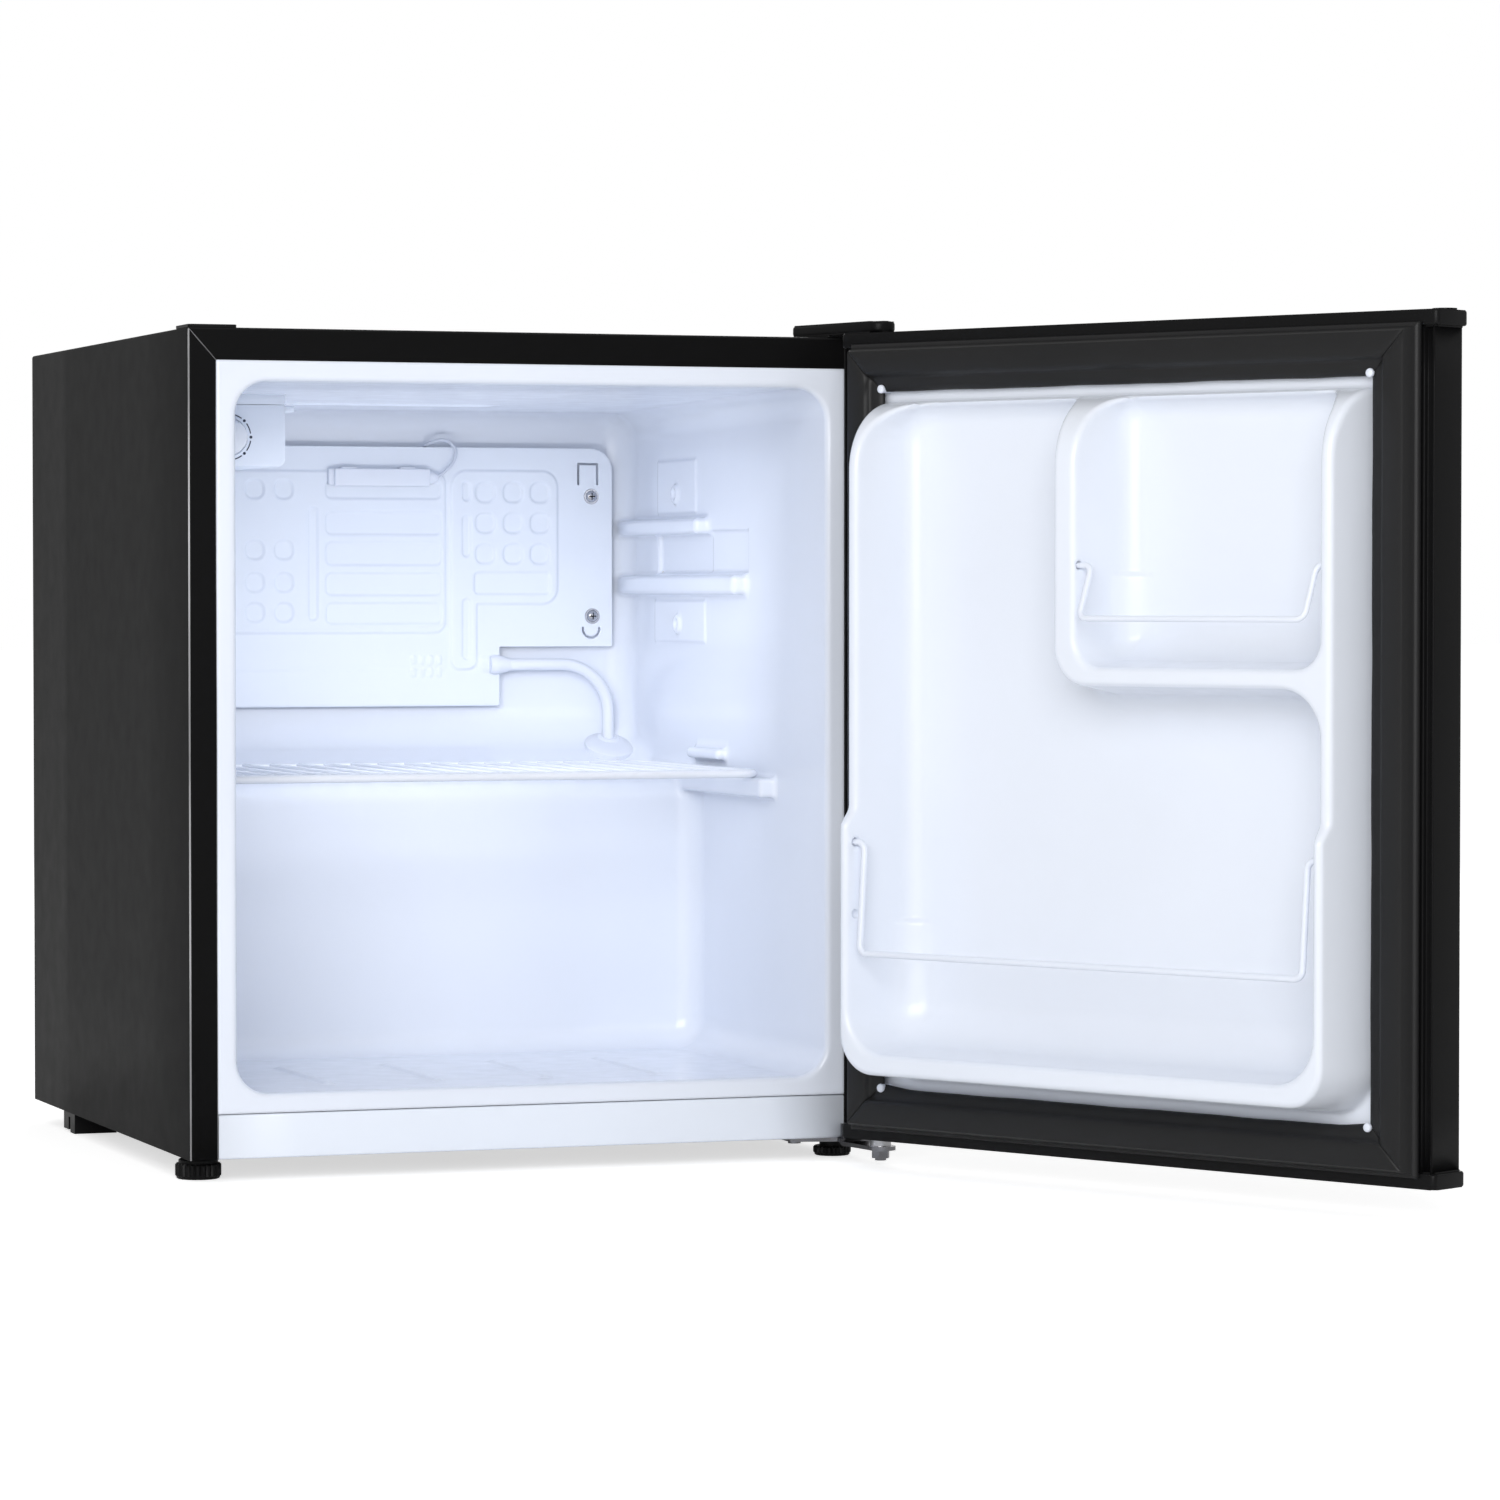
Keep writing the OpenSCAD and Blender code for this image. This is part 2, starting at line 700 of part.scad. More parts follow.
// soft tube from the ledge to the pan
module drain_tube() {
    x = -20;
    y = cav_y1 - 16;
    top = hump_z + (y - ledge_y) * tan(ledge_slope) - 3.2;
    color([0.8, 0.82, 0.85]) difference() {
        rod_z(comp_z + comp_h + 6, top, x, y, 6);
        rod_z(comp_z + comp_h, top + 5, x, y, 4.6);
    }
}

// strain-relief bush in the base plate, where a power cord enters
module cord_gland() {
    y1 = rear_y - 3;
    y0 = y1 - plate_t;
    color([0.06, 0.06, 0.06]) difference() {
        union() {
            rod_y(y0 - 6, y0, gland_x, gland_z, 8.5);
            rod_y(y0, y1, gland_x, gland_z, 6);
            rod_y(y1, y1 + 2.5, gland_x, gland_z, 8.5);
        }
        rod_y(y0 - 8, y1 + 4, gland_x, gland_z, 3.6);
    }
}

// ---------- evaporator and thermostat ----------

// roll-bond aluminium plate with a cut-out for the tube at the lower right
module evaporator_plate() {
    r = 10;
    color([0.93, 0.95, 0.97]) difference() {
        along_y(plate_y, plate_y + evap_t) union() {
            translate([evap_left, evap_mid]) rounded(evap_right - evap_left, evap_top - evap_mid, r);
            translate([evap_left, evap_low]) square([evap_step - evap_left, 60]);
            translate([evap_step - 1, evap_mid]) square([evap_right - evap_step + 1, 20]);
        }
        for (b = evap_bolts) rod_y(plate_y - 1, plate_y + 3, b[0], b[1], screw_r);
    }
}

module evaporator_spacers() {
    color([0.9, 0.92, 0.94]) for (b = evap_bolts) difference() {
        rod_y(plate_y + evap_t, cav_y1, b[0], b[1], 6);
        rod_y(plate_y, cav_y1 + 1, b[0], b[1], screw_r);
    }
}

module evaporator_screws() {
    color([0.78, 0.78, 0.8]) for (b = evap_bolts) {
        rod_y(plate_y, cav_y1 + 10, b[0], b[1], screw_r);
        rod_y(plate_y - 1.8, plate_y, b[0], b[1], 4);
    }
}

// sleeved tube from the plate's cut-out edge down into the ledge
module evaporator_tube() {
    color([0.92, 0.94, 0.97]) {
        pipe([[evap_step + 1, riser_y, evap_mid - 12], [riser_x, riser_y, evap_mid - 12],
            [riser_x, riser_y, hump_z + 3]], 33, 4);
        rod_x(evap_step + 0.5, evap_step + 8, riser_y, evap_mid - 12, 5.4);
    }
}

// soft disc that seals the tube's hole in the ledge
module tube_grommet() {
    z = hump_z + (grommet_y - ledge_y) * tan(ledge_slope);
    color([0.86, 0.89, 0.95]) difference() {
        translate([riser_x, grommet_y, z]) rotate([ledge_slope, 0, 0]) cylinder(h = 4.5, r = 16.5);
        rod_z(hump_z, hump_z + 60, riser_x, riser_y, sleeve_r);
    }
}

// open-backed box under the ceiling that carries the dial
module thermostat_housing() {
    depth = 112;
    color([0.9, 0.92, 0.95]) difference() {
        intersection() {
            cavity(0, stat_y0 - 1);
            union() {
                box([stat_x0, stat_y0, stat_z0], [stat_x1, stat_y0 + depth, stat_z1]);
                box([stat_x1, stat_y0, stat_z1 - 4], [stat_x1 + 6, stat_y0 + 14, stat_z1]);
                box([stat_x0 + 20, stat_y0 + 4, stat_z1], [stat_x1 - 3, stat_y0 + depth, cav_z1]);
            }
        }
        intersection() {
            cavity(-2, stat_y0);
            box([stat_x0 + 2, stat_y0 + 2, stat_z0 + 2], [stat_x1 - 2, stat_y0 + depth + 1, stat_z1 - 2]);
        }
        rod_y(stat_y0 - 1, stat_y0 + 3, dial_x, dial_z, 5);
    }
}

// switch body behind the dial, with its bushing in the housing
module thermostat_control() {
    y = stat_y0 + 8;
    color([0.75, 0.76, 0.78]) difference() {
        union() {
            box([dial_x - 20, y, dial_z - 14], [dial_x + 20, y + 26, dial_z + 16]);
            rod_y(stat_y0 + 0.2, y, dial_x, dial_z, 4.8);
            box([dial_x - 20, y + 24, stat_z0 + 2], [dial_x + 20, y + 26, dial_z]);
        }
        rod_y(stat_y0 - 1, y + 18, dial_x, dial_z, 3 + bush_clear);
    }
}

module thermostat_shaft() {
    color([0.78, 0.78, 0.8]) rod_y(stat_y0 - 8, stat_y0 + 24, dial_x, dial_z, 3);
}

// ribbed dial with a pointer rib
module thermostat_knob() {
    y = stat_y0 - 1;
    color([0.93, 0.95, 0.97]) difference() {
        union() {
            rod_y(y - 3, y, dial_x, dial_z, 11.5);
            rod_y(y - 10, y - 3, dial_x, dial_z, 9.5);
            box([dial_x - 1.2, y - 11, dial_z], [dial_x + 1.2, y - 3, dial_z + 9]);
            for (a = [0:30:330]) translate([dial_x, y - 9, dial_z]) rotate([0, a, 0])
                translate([9.4, 3.5, 0]) rotate([90, 0, 0]) cylinder(h = 3.5, r = 0.8);
        }
        rod_y(y - 7, y + 1, dial_x, dial_z, 3);
    }
}

// clip-on bar that holds the thermostat's sensing tube against the plate
module sensor_holder() {
    z0 = evap_top - 27;
    color([0.92, 0.94, 0.97]) {
        difference() {
            box([-30, plate_y - 8, z0], [43, plate_y, z0 + 12]);
            for (x = [-14, 24]) box([x, plate_y - 5, z0 + 11], [x + 9, plate_y - 2, z0 + 13]);
        }
        box([43, plate_y - 7, z0 + 1], [46, plate_y - 1, z0 + 11]);
    }
}

// end of the sensing tube where it loops out of the bar and over the plate
module sensor_capillary() {
    z = evap_top - 21;
    color([0.85, 0.87, 0.9])
        pipe([[46, plate_y - 4, z], [62, plate_y - 4, z], [62, plate_y - 4, evap_top + 4],
            [40, plate_y - 4, evap_top + 4], [40, cav_y1, evap_top + 4]], 4.5, 1.1);
}

// ---------- shelf ----------

// welded shelf: frame loop, two stretchers and the cross wires
module wire_shelf() {
    r = frame_wire / 2;
    bend = 12;
    y1 = shelf_y0 + shelf_d;
    step = (2 * shelf_half - 10) / (shelf_wires + 1);
    color([0.95, 0.96, 0.98]) {
        for (y = [shelf_y0, y1]) rod_x(bend - shelf_half, shelf_half - bend, y, shelf_z, r);
        for (x = [-shelf_half, shelf_half]) rod_y(shelf_y0 + bend, y1 - bend, x, shelf_z, r);
        for (s = [[1, 1, 0], [-1, 1, 90], [-1, -1, 180], [1, -1, 270]])
            translate([s[0] * (shelf_half - bend), (shelf_y0 + y1) / 2 + s[1] * (shelf_d / 2 - bend), shelf_z])
                rotate(s[2]) rotate_extrude(angle = 90) translate([bend, 0]) circle(r);
        for (i = [1:shelf_wires])
            rod_y(shelf_y0, y1, i * step - shelf_half + 5, shelf_z + 1.5, thin_wire / 2);
        for (y = [shelf_y0 + shelf_d / 3, shelf_y0 + 2 * shelf_d / 3])
            rod_x(-shelf_half, shelf_half, y, shelf_z - 1, thin_wire / 2);
    }
}

// ---------- door, drawn shut and turned open about the hinge ----------

module swung() {
    translate([hinge_x, hinge_y, 0]) rotate(door_open) translate([-hinge_x, -hinge_y, 0]) children();
}

// painted outer sheet with its folded sides and rear rims
module door_skin() {
    rim = 13;
    color([0.17, 0.17, 0.18]) swung() difference() {
        box([-door_half, door_y0, skin_z0], [door_half, door_y1 - 1.2, skin_z1]);
        box([sheet_t - door_half, door_y0 + sheet_t, skin_z0 - 1],
            [door_half - sheet_t, door_y1 - 1.2 - sheet_t, skin_z1 + 1]);
        box([rim - door_half, door_y1 - 5, skin_z0 - 1], [door_half - rim, door_y1, skin_z1 + 1]);
    }
}

// side section of the vertical pocket walls: ramp at the top, step at the bin
module dyke_profile(g, z0, step_z) {
    base = door_y1 - 6;
    crest = door_y1 + dyke_d - g;
    deep = crest + bin_extra;
    top = dyke_z1 - g;
    polygon(concat(
        step_z > z0
            ? [[base, z0 + g], [deep, z0 + g], [deep, step_z - 6], [crest, step_z + 6]]
            : [[base, z0 + g], [crest, z0 + g]],
        [for (i = [0:6]) [crest - dyke_d * (1 - cos(i * 15)), top - 44 + 44 * sin(i * 15)]],
        [[base, top]]));
}

// all raised walls of the door liner, thinned by g
module dykes(g) {
    both_sides() along_x(dyke_in + g, dyke_half - g) dyke_profile(g, dyke_z0, bin_z);
    along_x(rib_x0 + g, rib_x1 - g) dyke_profile(g, rib_z0, 0);
    box([-dyke_half + g, door_y1 - 6, rib_z0 + g], [rib_x1 - g, door_y1 + dyke_d - g, rib_z1 - g]);
    box([-dyke_half + g, door_y1 - 6, dyke_z0 + g],
        [dyke_half - g, door_y1 + dyke_d + bin_extra - g, dyke_z0 + 9 - g]);
}

// flat inner face with its shallow recess, set back by g
module door_panel(g, half, z0, z1, depth) {
    difference() {
        box([-half, door_y1 - depth, z0], [half, door_y1 - g, z1]);
        box([-recess_half - g, door_y1 - recess_d - g, dyke_z0 + 9 - g],
            [recess_half + g, door_y1 + 1, dyke_z1 - 4 + g]);
    }
}

module retainer_holes() {
    for (z = [142.5, 186]) rod_x(-176.5, 176.5, retainer_y, door_z0 + z, retainer_wire / 2);
    rod_x(-176.5, rib_x0 + 3.5, retainer_y - 5, door_z0 + 353, retainer_wire / 2);
}

// thermoformed inner door sheet with its pockets
module door_liner() {
    color([0.93, 0.95, 0.98]) swung() difference() {
        union() {
            door_panel(0, liner_half, skin_z0, skin_z1, 8);
            dykes(0);
        }
        union() {
            door_panel(liner_t, liner_half + 1, skin_z0 - 1, skin_z1 + 1, 12);
            dykes(liner_t);
        }
        retainer_holes();
    }
}

// rigid foam inside the door and its raised walls
module door_foam() {
    half = door_half - sheet_t;
    color([0.93, 0.87, 0.66]) swung() difference() {
        union() {
            difference() {
                door_panel(liner_t, half, skin_z0, skin_z1, door_t - sheet_t);
                for (s = [-1, 1]) box([s * (half - 6) - 6.3, door_y1 - 1.2 - sheet_t, skin_z0 - 1],
                    [s * (half - 6) + 6.3, door_y1 + 1, skin_z1 + 1]);
            }
            dykes(liner_t);
        }
        retainer_holes();
        rod_z(door_z0, door_z0 + 18, hinge_x, hinge_y, bush_r);
        rod_z(door_z1 - 18, door_z1, hinge_x, hinge_y, bush_r);
    }
}

// moulded cap across one end of the door
module end_cap(z0, z1) {
    color([0.06, 0.06, 0.06]) difference() {
        along_z(z0, z1) translate([-door_half - cap_out, door_y0 - cap_out])
            rounded(door_w + 2 * cap_out, door_t + cap_out - 0.5, 3);
        for (x = [-hinge_x, hinge_x]) rod_z(0, cab_z1 + 9, x, hinge_y, bush_r);
    }
}

module door_top_cap() {
    swung() end_cap(skin_z1, door_z1);
}

module door_bottom_cap() {
    swung() end_cap(door_z0, skin_z0);
}

// four magnet strips inside the seal
module magnet_strips() {
    y0 = front_y - 4.4;
    y1 = front_y - 1.9;
    for (x = [-205.5, 196.5]) box([x, y0, gasket_z0 + 24], [x + 9, y1, gasket_z1 - 24]);
    for (z = [gasket_z0 + 9, gasket_z1 - 18]) box([-192, y0, z], [192, y1, z + 9]);
}

// black seal around the door liner
module door_gasket() {
    color([0.05, 0.05, 0.05]) swung() difference() {
        box([-gasket_half, door_y1, gasket_z0], [gasket_half, front_y - gasket_clear, gasket_z1]);
        box([-gasket_in, door_y1 - 1, gasket_z0 + gasket_lip], [gasket_in, front_y, gasket_z1 - gasket_lip]);
        magnet_strips();
    }
}

module gasket_magnets() {
    color([0.3, 0.27, 0.24]) swung() magnet_strips();
}

// round plugs at the corners of the seal's opening
module liner_corner_plugs() {
    inset = gasket_lip + 2.8;
    color([0.93, 0.95, 0.98]) swung() both_sides() for (z = [gasket_z0 + inset, gasket_z1 - inset])
        rod_y(door_y1, door_y1 + 10, gasket_in - 2.8, z, 2.6);
}

// bent wire held at both ends, hanging down by drop with its bar set out by out
module retainer(x0, left, right, x1, drop, out, bend, r) {
    length = norm([drop, out]);
    rotate([atan2(out, drop), 0, 0])
        pipe([[x0, 0, 0], [left, 0, 0], [left, 0, -length], [right, 0, -length], [right, 0, 0], [x1, 0, 0]],
            bend, r);
}

// wire across the lower bin and the tall recess
module tall_retainer() {
    x = dyke_in - 7;
    color([0.95, 0.96, 0.98]) swung() translate([0, retainer_y, door_z0 + 186])
        retainer(-x - 10, -x, x, x + 10, 67, 5, 5, retainer_wire / 2);
}

// wire across the small upper pocket
module small_retainer() {
    color([0.95, 0.96, 0.98]) swung() translate([0, retainer_y - 5, door_z0 + 353])
        retainer(-dyke_in - 3, 5 - dyke_in, rib_x0 - 10, rib_x0 + 3, 31, 12, 4, retainer_wire / 2 - 0.2);
}

// plastic bushes that turn on the hinge pins
module hinge_bushes() {
    color([0.85, 0.85, 0.84]) swung() difference() {
        union() {
            rod_z(door_z0, door_z0 + 18, hinge_x, hinge_y, bush_r);
            rod_z(door_z1 - 18, door_z1, hinge_x, hinge_y, bush_r);
        }
        rod_z(0, door_z0 + 16, hinge_x, hinge_y, pin_r + bush_clear);
        rod_z(door_z1 - 16, cab_z1 + 9, hinge_x, hinge_y, pin_r + bush_clear);
    }
}

// plugs in the unused bush holes at the free side
module hinge_hole_plugs() {
    color([0.06, 0.06, 0.06]) swung() {
        rod_z(door_z1 - 8, door_z1, -hinge_x, hinge_y, bush_r);
        rod_z(door_z1, door_z1 + 1.4, -hinge_x, hinge_y, 7);
        rod_z(door_z0, door_z0 + 8, -hinge_x, hinge_y, bush_r);
        rod_z(door_z0 - 1, door_z0, -hinge_x, hinge_y, 7);
    }
}

cabinet_wrap();
cabinet_foam();
inner_liner();
front_beam();
back_panel();
machine_bay_panel();
bottom_panel();
compressor_base_plate();
rear_feet();
foot_inserts();
front_left_foot();
front_right_foot();
hinge_backing_plates();
top_hinge_bracket();
top_hinge_pin();
top_hinge_cover();
top_hinge_screws();
spare_hinge_cap();
bottom_hinge_bracket();
bottom_hinge_pin();
bottom_hinge_nut();
bottom_hinge_collar();
bottom_hinge_screws();
compressor();
compressor_grommets();
compressor_studs();
start_relay();
terminal_cover();
condenser();
filter_dryer();
suction_line();
discharge_line();
evaporation_pan();
drain_tube();
cord_gland();
evaporator_plate();
evaporator_spacers();
evaporator_screws();
evaporator_tube();
tube_grommet();
thermostat_housing();
thermostat_control();
thermostat_shaft();
thermostat_knob();
sensor_holder();
sensor_capillary();
wire_shelf();
door_skin();
door_foam();
door_liner();
door_top_cap();
door_bottom_cap();
door_gasket();
gasket_magnets();
liner_corner_plugs();
tall_retainer();
small_retainer();
hinge_bushes();
hinge_hole_plugs();
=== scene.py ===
"""Looks of the compact refrigerator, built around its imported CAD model.

Lengths are in millimetres in the shapes below and become metres in place().
Door pieces are drawn with the door shut and turned open with SWING.
"""

import functools
import json
import math

import bmesh
import bpy
import numpy as np
from mathutils import Matrix, Vector


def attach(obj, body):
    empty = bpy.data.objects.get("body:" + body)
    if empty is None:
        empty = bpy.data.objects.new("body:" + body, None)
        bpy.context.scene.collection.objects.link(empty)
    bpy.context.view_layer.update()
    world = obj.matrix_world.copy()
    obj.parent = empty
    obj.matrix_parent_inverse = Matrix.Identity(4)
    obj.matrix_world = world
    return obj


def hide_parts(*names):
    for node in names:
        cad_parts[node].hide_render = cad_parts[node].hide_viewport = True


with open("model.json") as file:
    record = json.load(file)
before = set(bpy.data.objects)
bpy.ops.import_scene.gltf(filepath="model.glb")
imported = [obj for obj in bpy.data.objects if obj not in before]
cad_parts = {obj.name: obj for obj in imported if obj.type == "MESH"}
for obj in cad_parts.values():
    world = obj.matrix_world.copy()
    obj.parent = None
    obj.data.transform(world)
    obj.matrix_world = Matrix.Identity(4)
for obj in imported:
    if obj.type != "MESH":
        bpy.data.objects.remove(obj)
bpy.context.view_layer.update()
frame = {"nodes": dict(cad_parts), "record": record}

MM = 0.001
AS_DRAWN = Matrix.Identity(4)
WHITE = (1.0, 1.0, 1.0, 1.0)

# Outside of the cabinet, and the plane where the shut door's liner lies flat
HALF_WIDTH, BOTTOM_Z, TOP_Z, FRONT_Y, REAR_Y = 219.0, 14.0, 514.0, -215.0, 215.0
LINER_Y = -227.0

hinge = next(j for j in frame["record"]["behaviour"]["joints"] if j["name"] == "door_hinge")
HINGE = Vector(hinge["pos_m"])
OPEN_ANGLE = -math.radians(hinge["range_deg"][0])
SWING = (Matrix.Translation(HINGE) @ Matrix.Rotation(OPEN_ANGLE, 4, "Z")
         @ Matrix.Translation(-HINGE))


def add_object(name, data):
    """New object of the scene that holds the data."""
    made = bpy.data.objects.new(name, data)
    bpy.context.collection.objects.link(made)
    return made


# ---------- camera and light ----------

camera = bpy.data.cameras.new("camera")
camera.lens = 131.04
camera.sensor_width = 36.0
camera.clip_end = 50.0
camera_object = add_object("camera", camera)
camera_object.location = (-1.0110, -3.4040, 0.3549)
camera_object.rotation_euler = (math.radians(88.352), 0.0, math.radians(-19.822))
bpy.context.scene.camera = camera_object
bpy.context.scene.view_settings.view_transform = "Standard"


REFLECTED_POWER = 5.0


def area_light(name, place_at, look_at, size, power):
    """White studio lamp; only the strong ones show in reflections."""
    lamp = bpy.data.lights.new(name, "AREA")
    lamp.shape = "RECTANGLE"
    lamp.size, lamp.size_y = size
    lamp.energy = power
    lamp_object = add_object(name, lamp)
    lamp_object.location = place_at
    direction = Vector(look_at) - Vector(place_at)
    lamp_object.rotation_euler = direction.to_track_quat("-Z", "Y").to_euler()
    lamp_object.visible_camera = False
    lamp_object.visible_glossy = power > REFLECTED_POWER


area_light("front_left", (-1.25, -3.1, 1.25), (0.0, -0.1, 0.28), (2.2, 1.6), 61)
area_light("left_side", (-2.6, -0.7, 0.9), (-0.2, 0.0, 0.27), (1.2, 1.2), 3)
area_light("rear", (1.3, 2.8, 1.5), (0.0, 0.2, 0.25), (1.6, 1.2), 26)
area_light("opening_fill", (-0.03, -0.12, 0.33), (0.0, 0.2, 0.36), (0.22, 0.05), 0.26)

world = bpy.data.worlds.new("studio")
world.use_nodes = True
bpy.context.scene.world = world
world_nodes = world.node_tree.nodes
world_links = world.node_tree.links
background = world_nodes["Background"]
background.inputs["Color"].default_value = WHITE
background.inputs["Strength"].default_value = 0.49
backdrop = world_nodes.new("ShaderNodeBackground")
backdrop.inputs["Color"].default_value = WHITE
backdrop.inputs["Strength"].default_value = 1.0
light_path = world_nodes.new("ShaderNodeLightPath")
mix_world = world_nodes.new("ShaderNodeMixShader")
world_links.new(light_path.outputs["Is Camera Ray"], mix_world.inputs["Fac"])
world_links.new(background.outputs["Background"], mix_world.inputs[1])
world_links.new(backdrop.outputs["Background"], mix_world.inputs[2])
world_links.new(mix_world.outputs["Shader"], world_nodes["World Output"].inputs["Surface"])


# ---------- materials ----------

ROUGH_SPREAD = 0.05


def finish(name, color, rough, metal=0.0, specular=0.5, grain=(900.0, 0.0), waves=(12.0, 0.0),
           tone=0.04, coat=0.0):
    """Procedural material: tone and roughness drift, fine grain and broad waves in its bump."""
    made = bpy.data.materials.new(name)
    made.use_nodes = True
    nodes, links = made.node_tree.nodes, made.node_tree.links
    shader = nodes["Principled BSDF"]
    shader.inputs["Metallic"].default_value = metal
    shader.inputs["Specular IOR Level"].default_value = specular
    shader.inputs["Coat Weight"].default_value = coat
    shader.inputs["Coat Roughness"].default_value = 0.15
    coords = nodes.new("ShaderNodeTexCoord")

    def noise(scale, detail):
        made_noise = nodes.new("ShaderNodeTexNoise")
        made_noise.inputs["Scale"].default_value = scale
        made_noise.inputs["Detail"].default_value = detail
        links.new(coords.outputs["Object"], made_noise.inputs["Vector"])
        return made_noise

    drift = noise(9.0, 4.0)
    ramp = nodes.new("ShaderNodeValToRGB")
    ramp.color_ramp.elements[0].position = 0.3
    ramp.color_ramp.elements[1].position = 0.7
    ramp.color_ramp.elements[0].color = (*[c * (1 - tone) for c in color], 1.0)
    ramp.color_ramp.elements[1].color = (*[min(1.0, c * (1 + tone)) for c in color], 1.0)
    links.new(drift.outputs["Fac"], ramp.inputs["Fac"])
    links.new(ramp.outputs["Color"], shader.inputs["Base Color"])

    patches = noise(60.0, 3.0)
    spread = nodes.new("ShaderNodeMapRange")
    spread.inputs["To Min"].default_value = max(0.02, rough - ROUGH_SPREAD)
    spread.inputs["To Max"].default_value = min(1.0, rough + ROUGH_SPREAD)
    links.new(patches.outputs["Fac"], spread.inputs["Value"])
    links.new(spread.outputs["Result"], shader.inputs["Roughness"])

    normal = None
    for (scale, strength), detail in ((waves, 1.0), (grain, 3.0)):
        if strength <= 0:
            continue
        relief = noise(scale, detail)
        bump = nodes.new("ShaderNodeBump")
        bump.inputs["Strength"].default_value = 1.0
        bump.inputs["Distance"].default_value = strength * MM
        links.new(relief.outputs["Fac"], bump.inputs["Height"])
        if normal:
            links.new(normal.outputs["Normal"], bump.inputs["Normal"])
        normal = bump
    if normal:
        links.new(normal.outputs["Normal"], shader.inputs["Normal"])
    return made


M = {
    "side": finish("cabinet_paint", (0.0125, 0.0125, 0.0129), 0.5, specular=0.05, grain=(1500.0, 0.02)),
    # Darker copy of the side paint for the front-facing flanges: painted shade, since the sheet is one paint
    # all over.
    "flange": finish("front_flange_painted_shade", (0.0028, 0.0028, 0.003), 0.42, specular=0.08,
                     grain=(1500.0, 0.02)),
    # Pale colour on the bent front edges of the sides: a painted highlight for the glint along the bend.
    "fold": finish("fold_painted_highlight", (0.3, 0.3, 0.31), 0.3, tone=0.5),
    "door": finish("door_paint", (0.0045, 0.0045, 0.0048), 0.42, specular=0.1, grain=(1400.0, 0.02)),
    "liner": finish("liner_plastic", (0.79, 0.835, 0.93), 0.17, grain=(700.0, 0.003),
                    waves=(14.0, 0.3), tone=0.012),
    "door_liner": finish("door_liner_plastic", (0.79, 0.83, 0.91), 0.22, specular=0.45, grain=(700.0, 0.004),
                         waves=(14.0, 0.3), tone=0.012),
    "beam": finish("beam_paint", (0.8, 0.85, 0.94), 0.35, grain=(1300.0, 0.008), tone=0.01),
    "white_part": finish("white_plastic", (0.78, 0.82, 0.91), 0.36, grain=(900.0, 0.006), tone=0.012),
    "stat": finish("stat_plastic", (0.72, 0.78, 0.89), 0.4, grain=(1200.0, 0.012), tone=0.015),
    "knob": finish("knob_plastic", (0.78, 0.82, 0.9), 0.35, grain=(1200.0, 0.01), tone=0.015),
    "bar": finish("retainer_wire", (0.78, 0.82, 0.91), 0.3, grain=(500.0, 0.01), tone=0.015),
    "wire": finish("white_wire", (0.86, 0.89, 0.96), 0.22, grain=(500.0, 0.01), tone=0.015, coat=0.3),
    "plate": finish("evaporator_paint", (0.8, 0.85, 0.94), 0.24, grain=(800.0, 0.003),
                    waves=(25.0, 0.08), tone=0.01),
    "soft": finish("soft_white", (0.78, 0.82, 0.91), 0.42, grain=(600.0, 0.01), tone=0.02),
    "capillary": finish("capillary_sleeve", (0.6, 0.64, 0.74), 0.35, grain=(900.0, 0.01), tone=0.03),
    "black": finish("black_plastic", (0.004, 0.004, 0.0043), 0.38, specular=0.15, grain=(1600.0, 0.02)),
    "rubber": finish("seal_rubber", (0.012, 0.012, 0.0125), 0.42, specular=0.26, grain=(500.0, 0.01),
                     waves=(40.0, 0.1), tone=0.1),
    "zinc": finish("zinc_steel", (0.26, 0.26, 0.275), 0.2, metal=1.0, grain=(260.0, 0.05), tone=0.45),
    "bright": finish("bright_steel", (0.55, 0.55, 0.57), 0.22, metal=1.0, grain=(900.0, 0.005), tone=0.06),
    "black_steel": finish("black_steel", (0.012, 0.012, 0.013), 0.38, grain=(900.0, 0.03), tone=0.1),
    "enamel": finish("compressor_enamel", (0.010, 0.010, 0.011), 0.24, grain=(260.0, 0.04), tone=0.15,
                     coat=0.4),
    "foam": finish("foam", (0.62, 0.5, 0.28), 0.85, specular=0.2, grain=(350.0, 0.5), waves=(60.0, 1.2),
                   tone=0.12),
    "copper": finish("copper", (0.72, 0.36, 0.2), 0.3, metal=1.0, grain=(700.0, 0.01), tone=0.15),
    "magnet": finish("magnet", (0.05, 0.045, 0.04), 0.8, grain=(900.0, 0.05)),
    "ink": finish("ink", (0.012, 0.02, 0.05), 0.5, grain=(1200.0, 0.01)),
    # Near-black colour for the cross slots in the screw heads: painted shade for their recesses.
    "shadow": finish("painted_slot_shade", (0.02, 0.02, 0.022), 0.6, specular=0.1),
}


# ---------- shape building ----------

def place(shape, name, body, material, replaces=(), turn=AS_DRAWN, sharp=35.0):
    """Makes an object of a bmesh in mm, or (vertices, faces) in mm, and gives it to a body."""
    mesh = bpy.data.meshes.new(name)
    if isinstance(shape, bmesh.types.BMesh):
        bmesh.ops.recalc_face_normals(shape, faces=shape.faces)
        shape.to_mesh(mesh)
        shape.free()
    else:
        mesh.from_pydata(shape[0], [], shape[1])
    mesh.transform(turn @ Matrix.Scale(MM, 4))
    mesh.shade_smooth()
    mesh.set_sharp_from_angle(angle=math.radians(sharp))
    mesh.materials.append(material)
    made = add_object(name, mesh)
    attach(made, body)
    if replaces:
        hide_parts(*replaces)
    return made


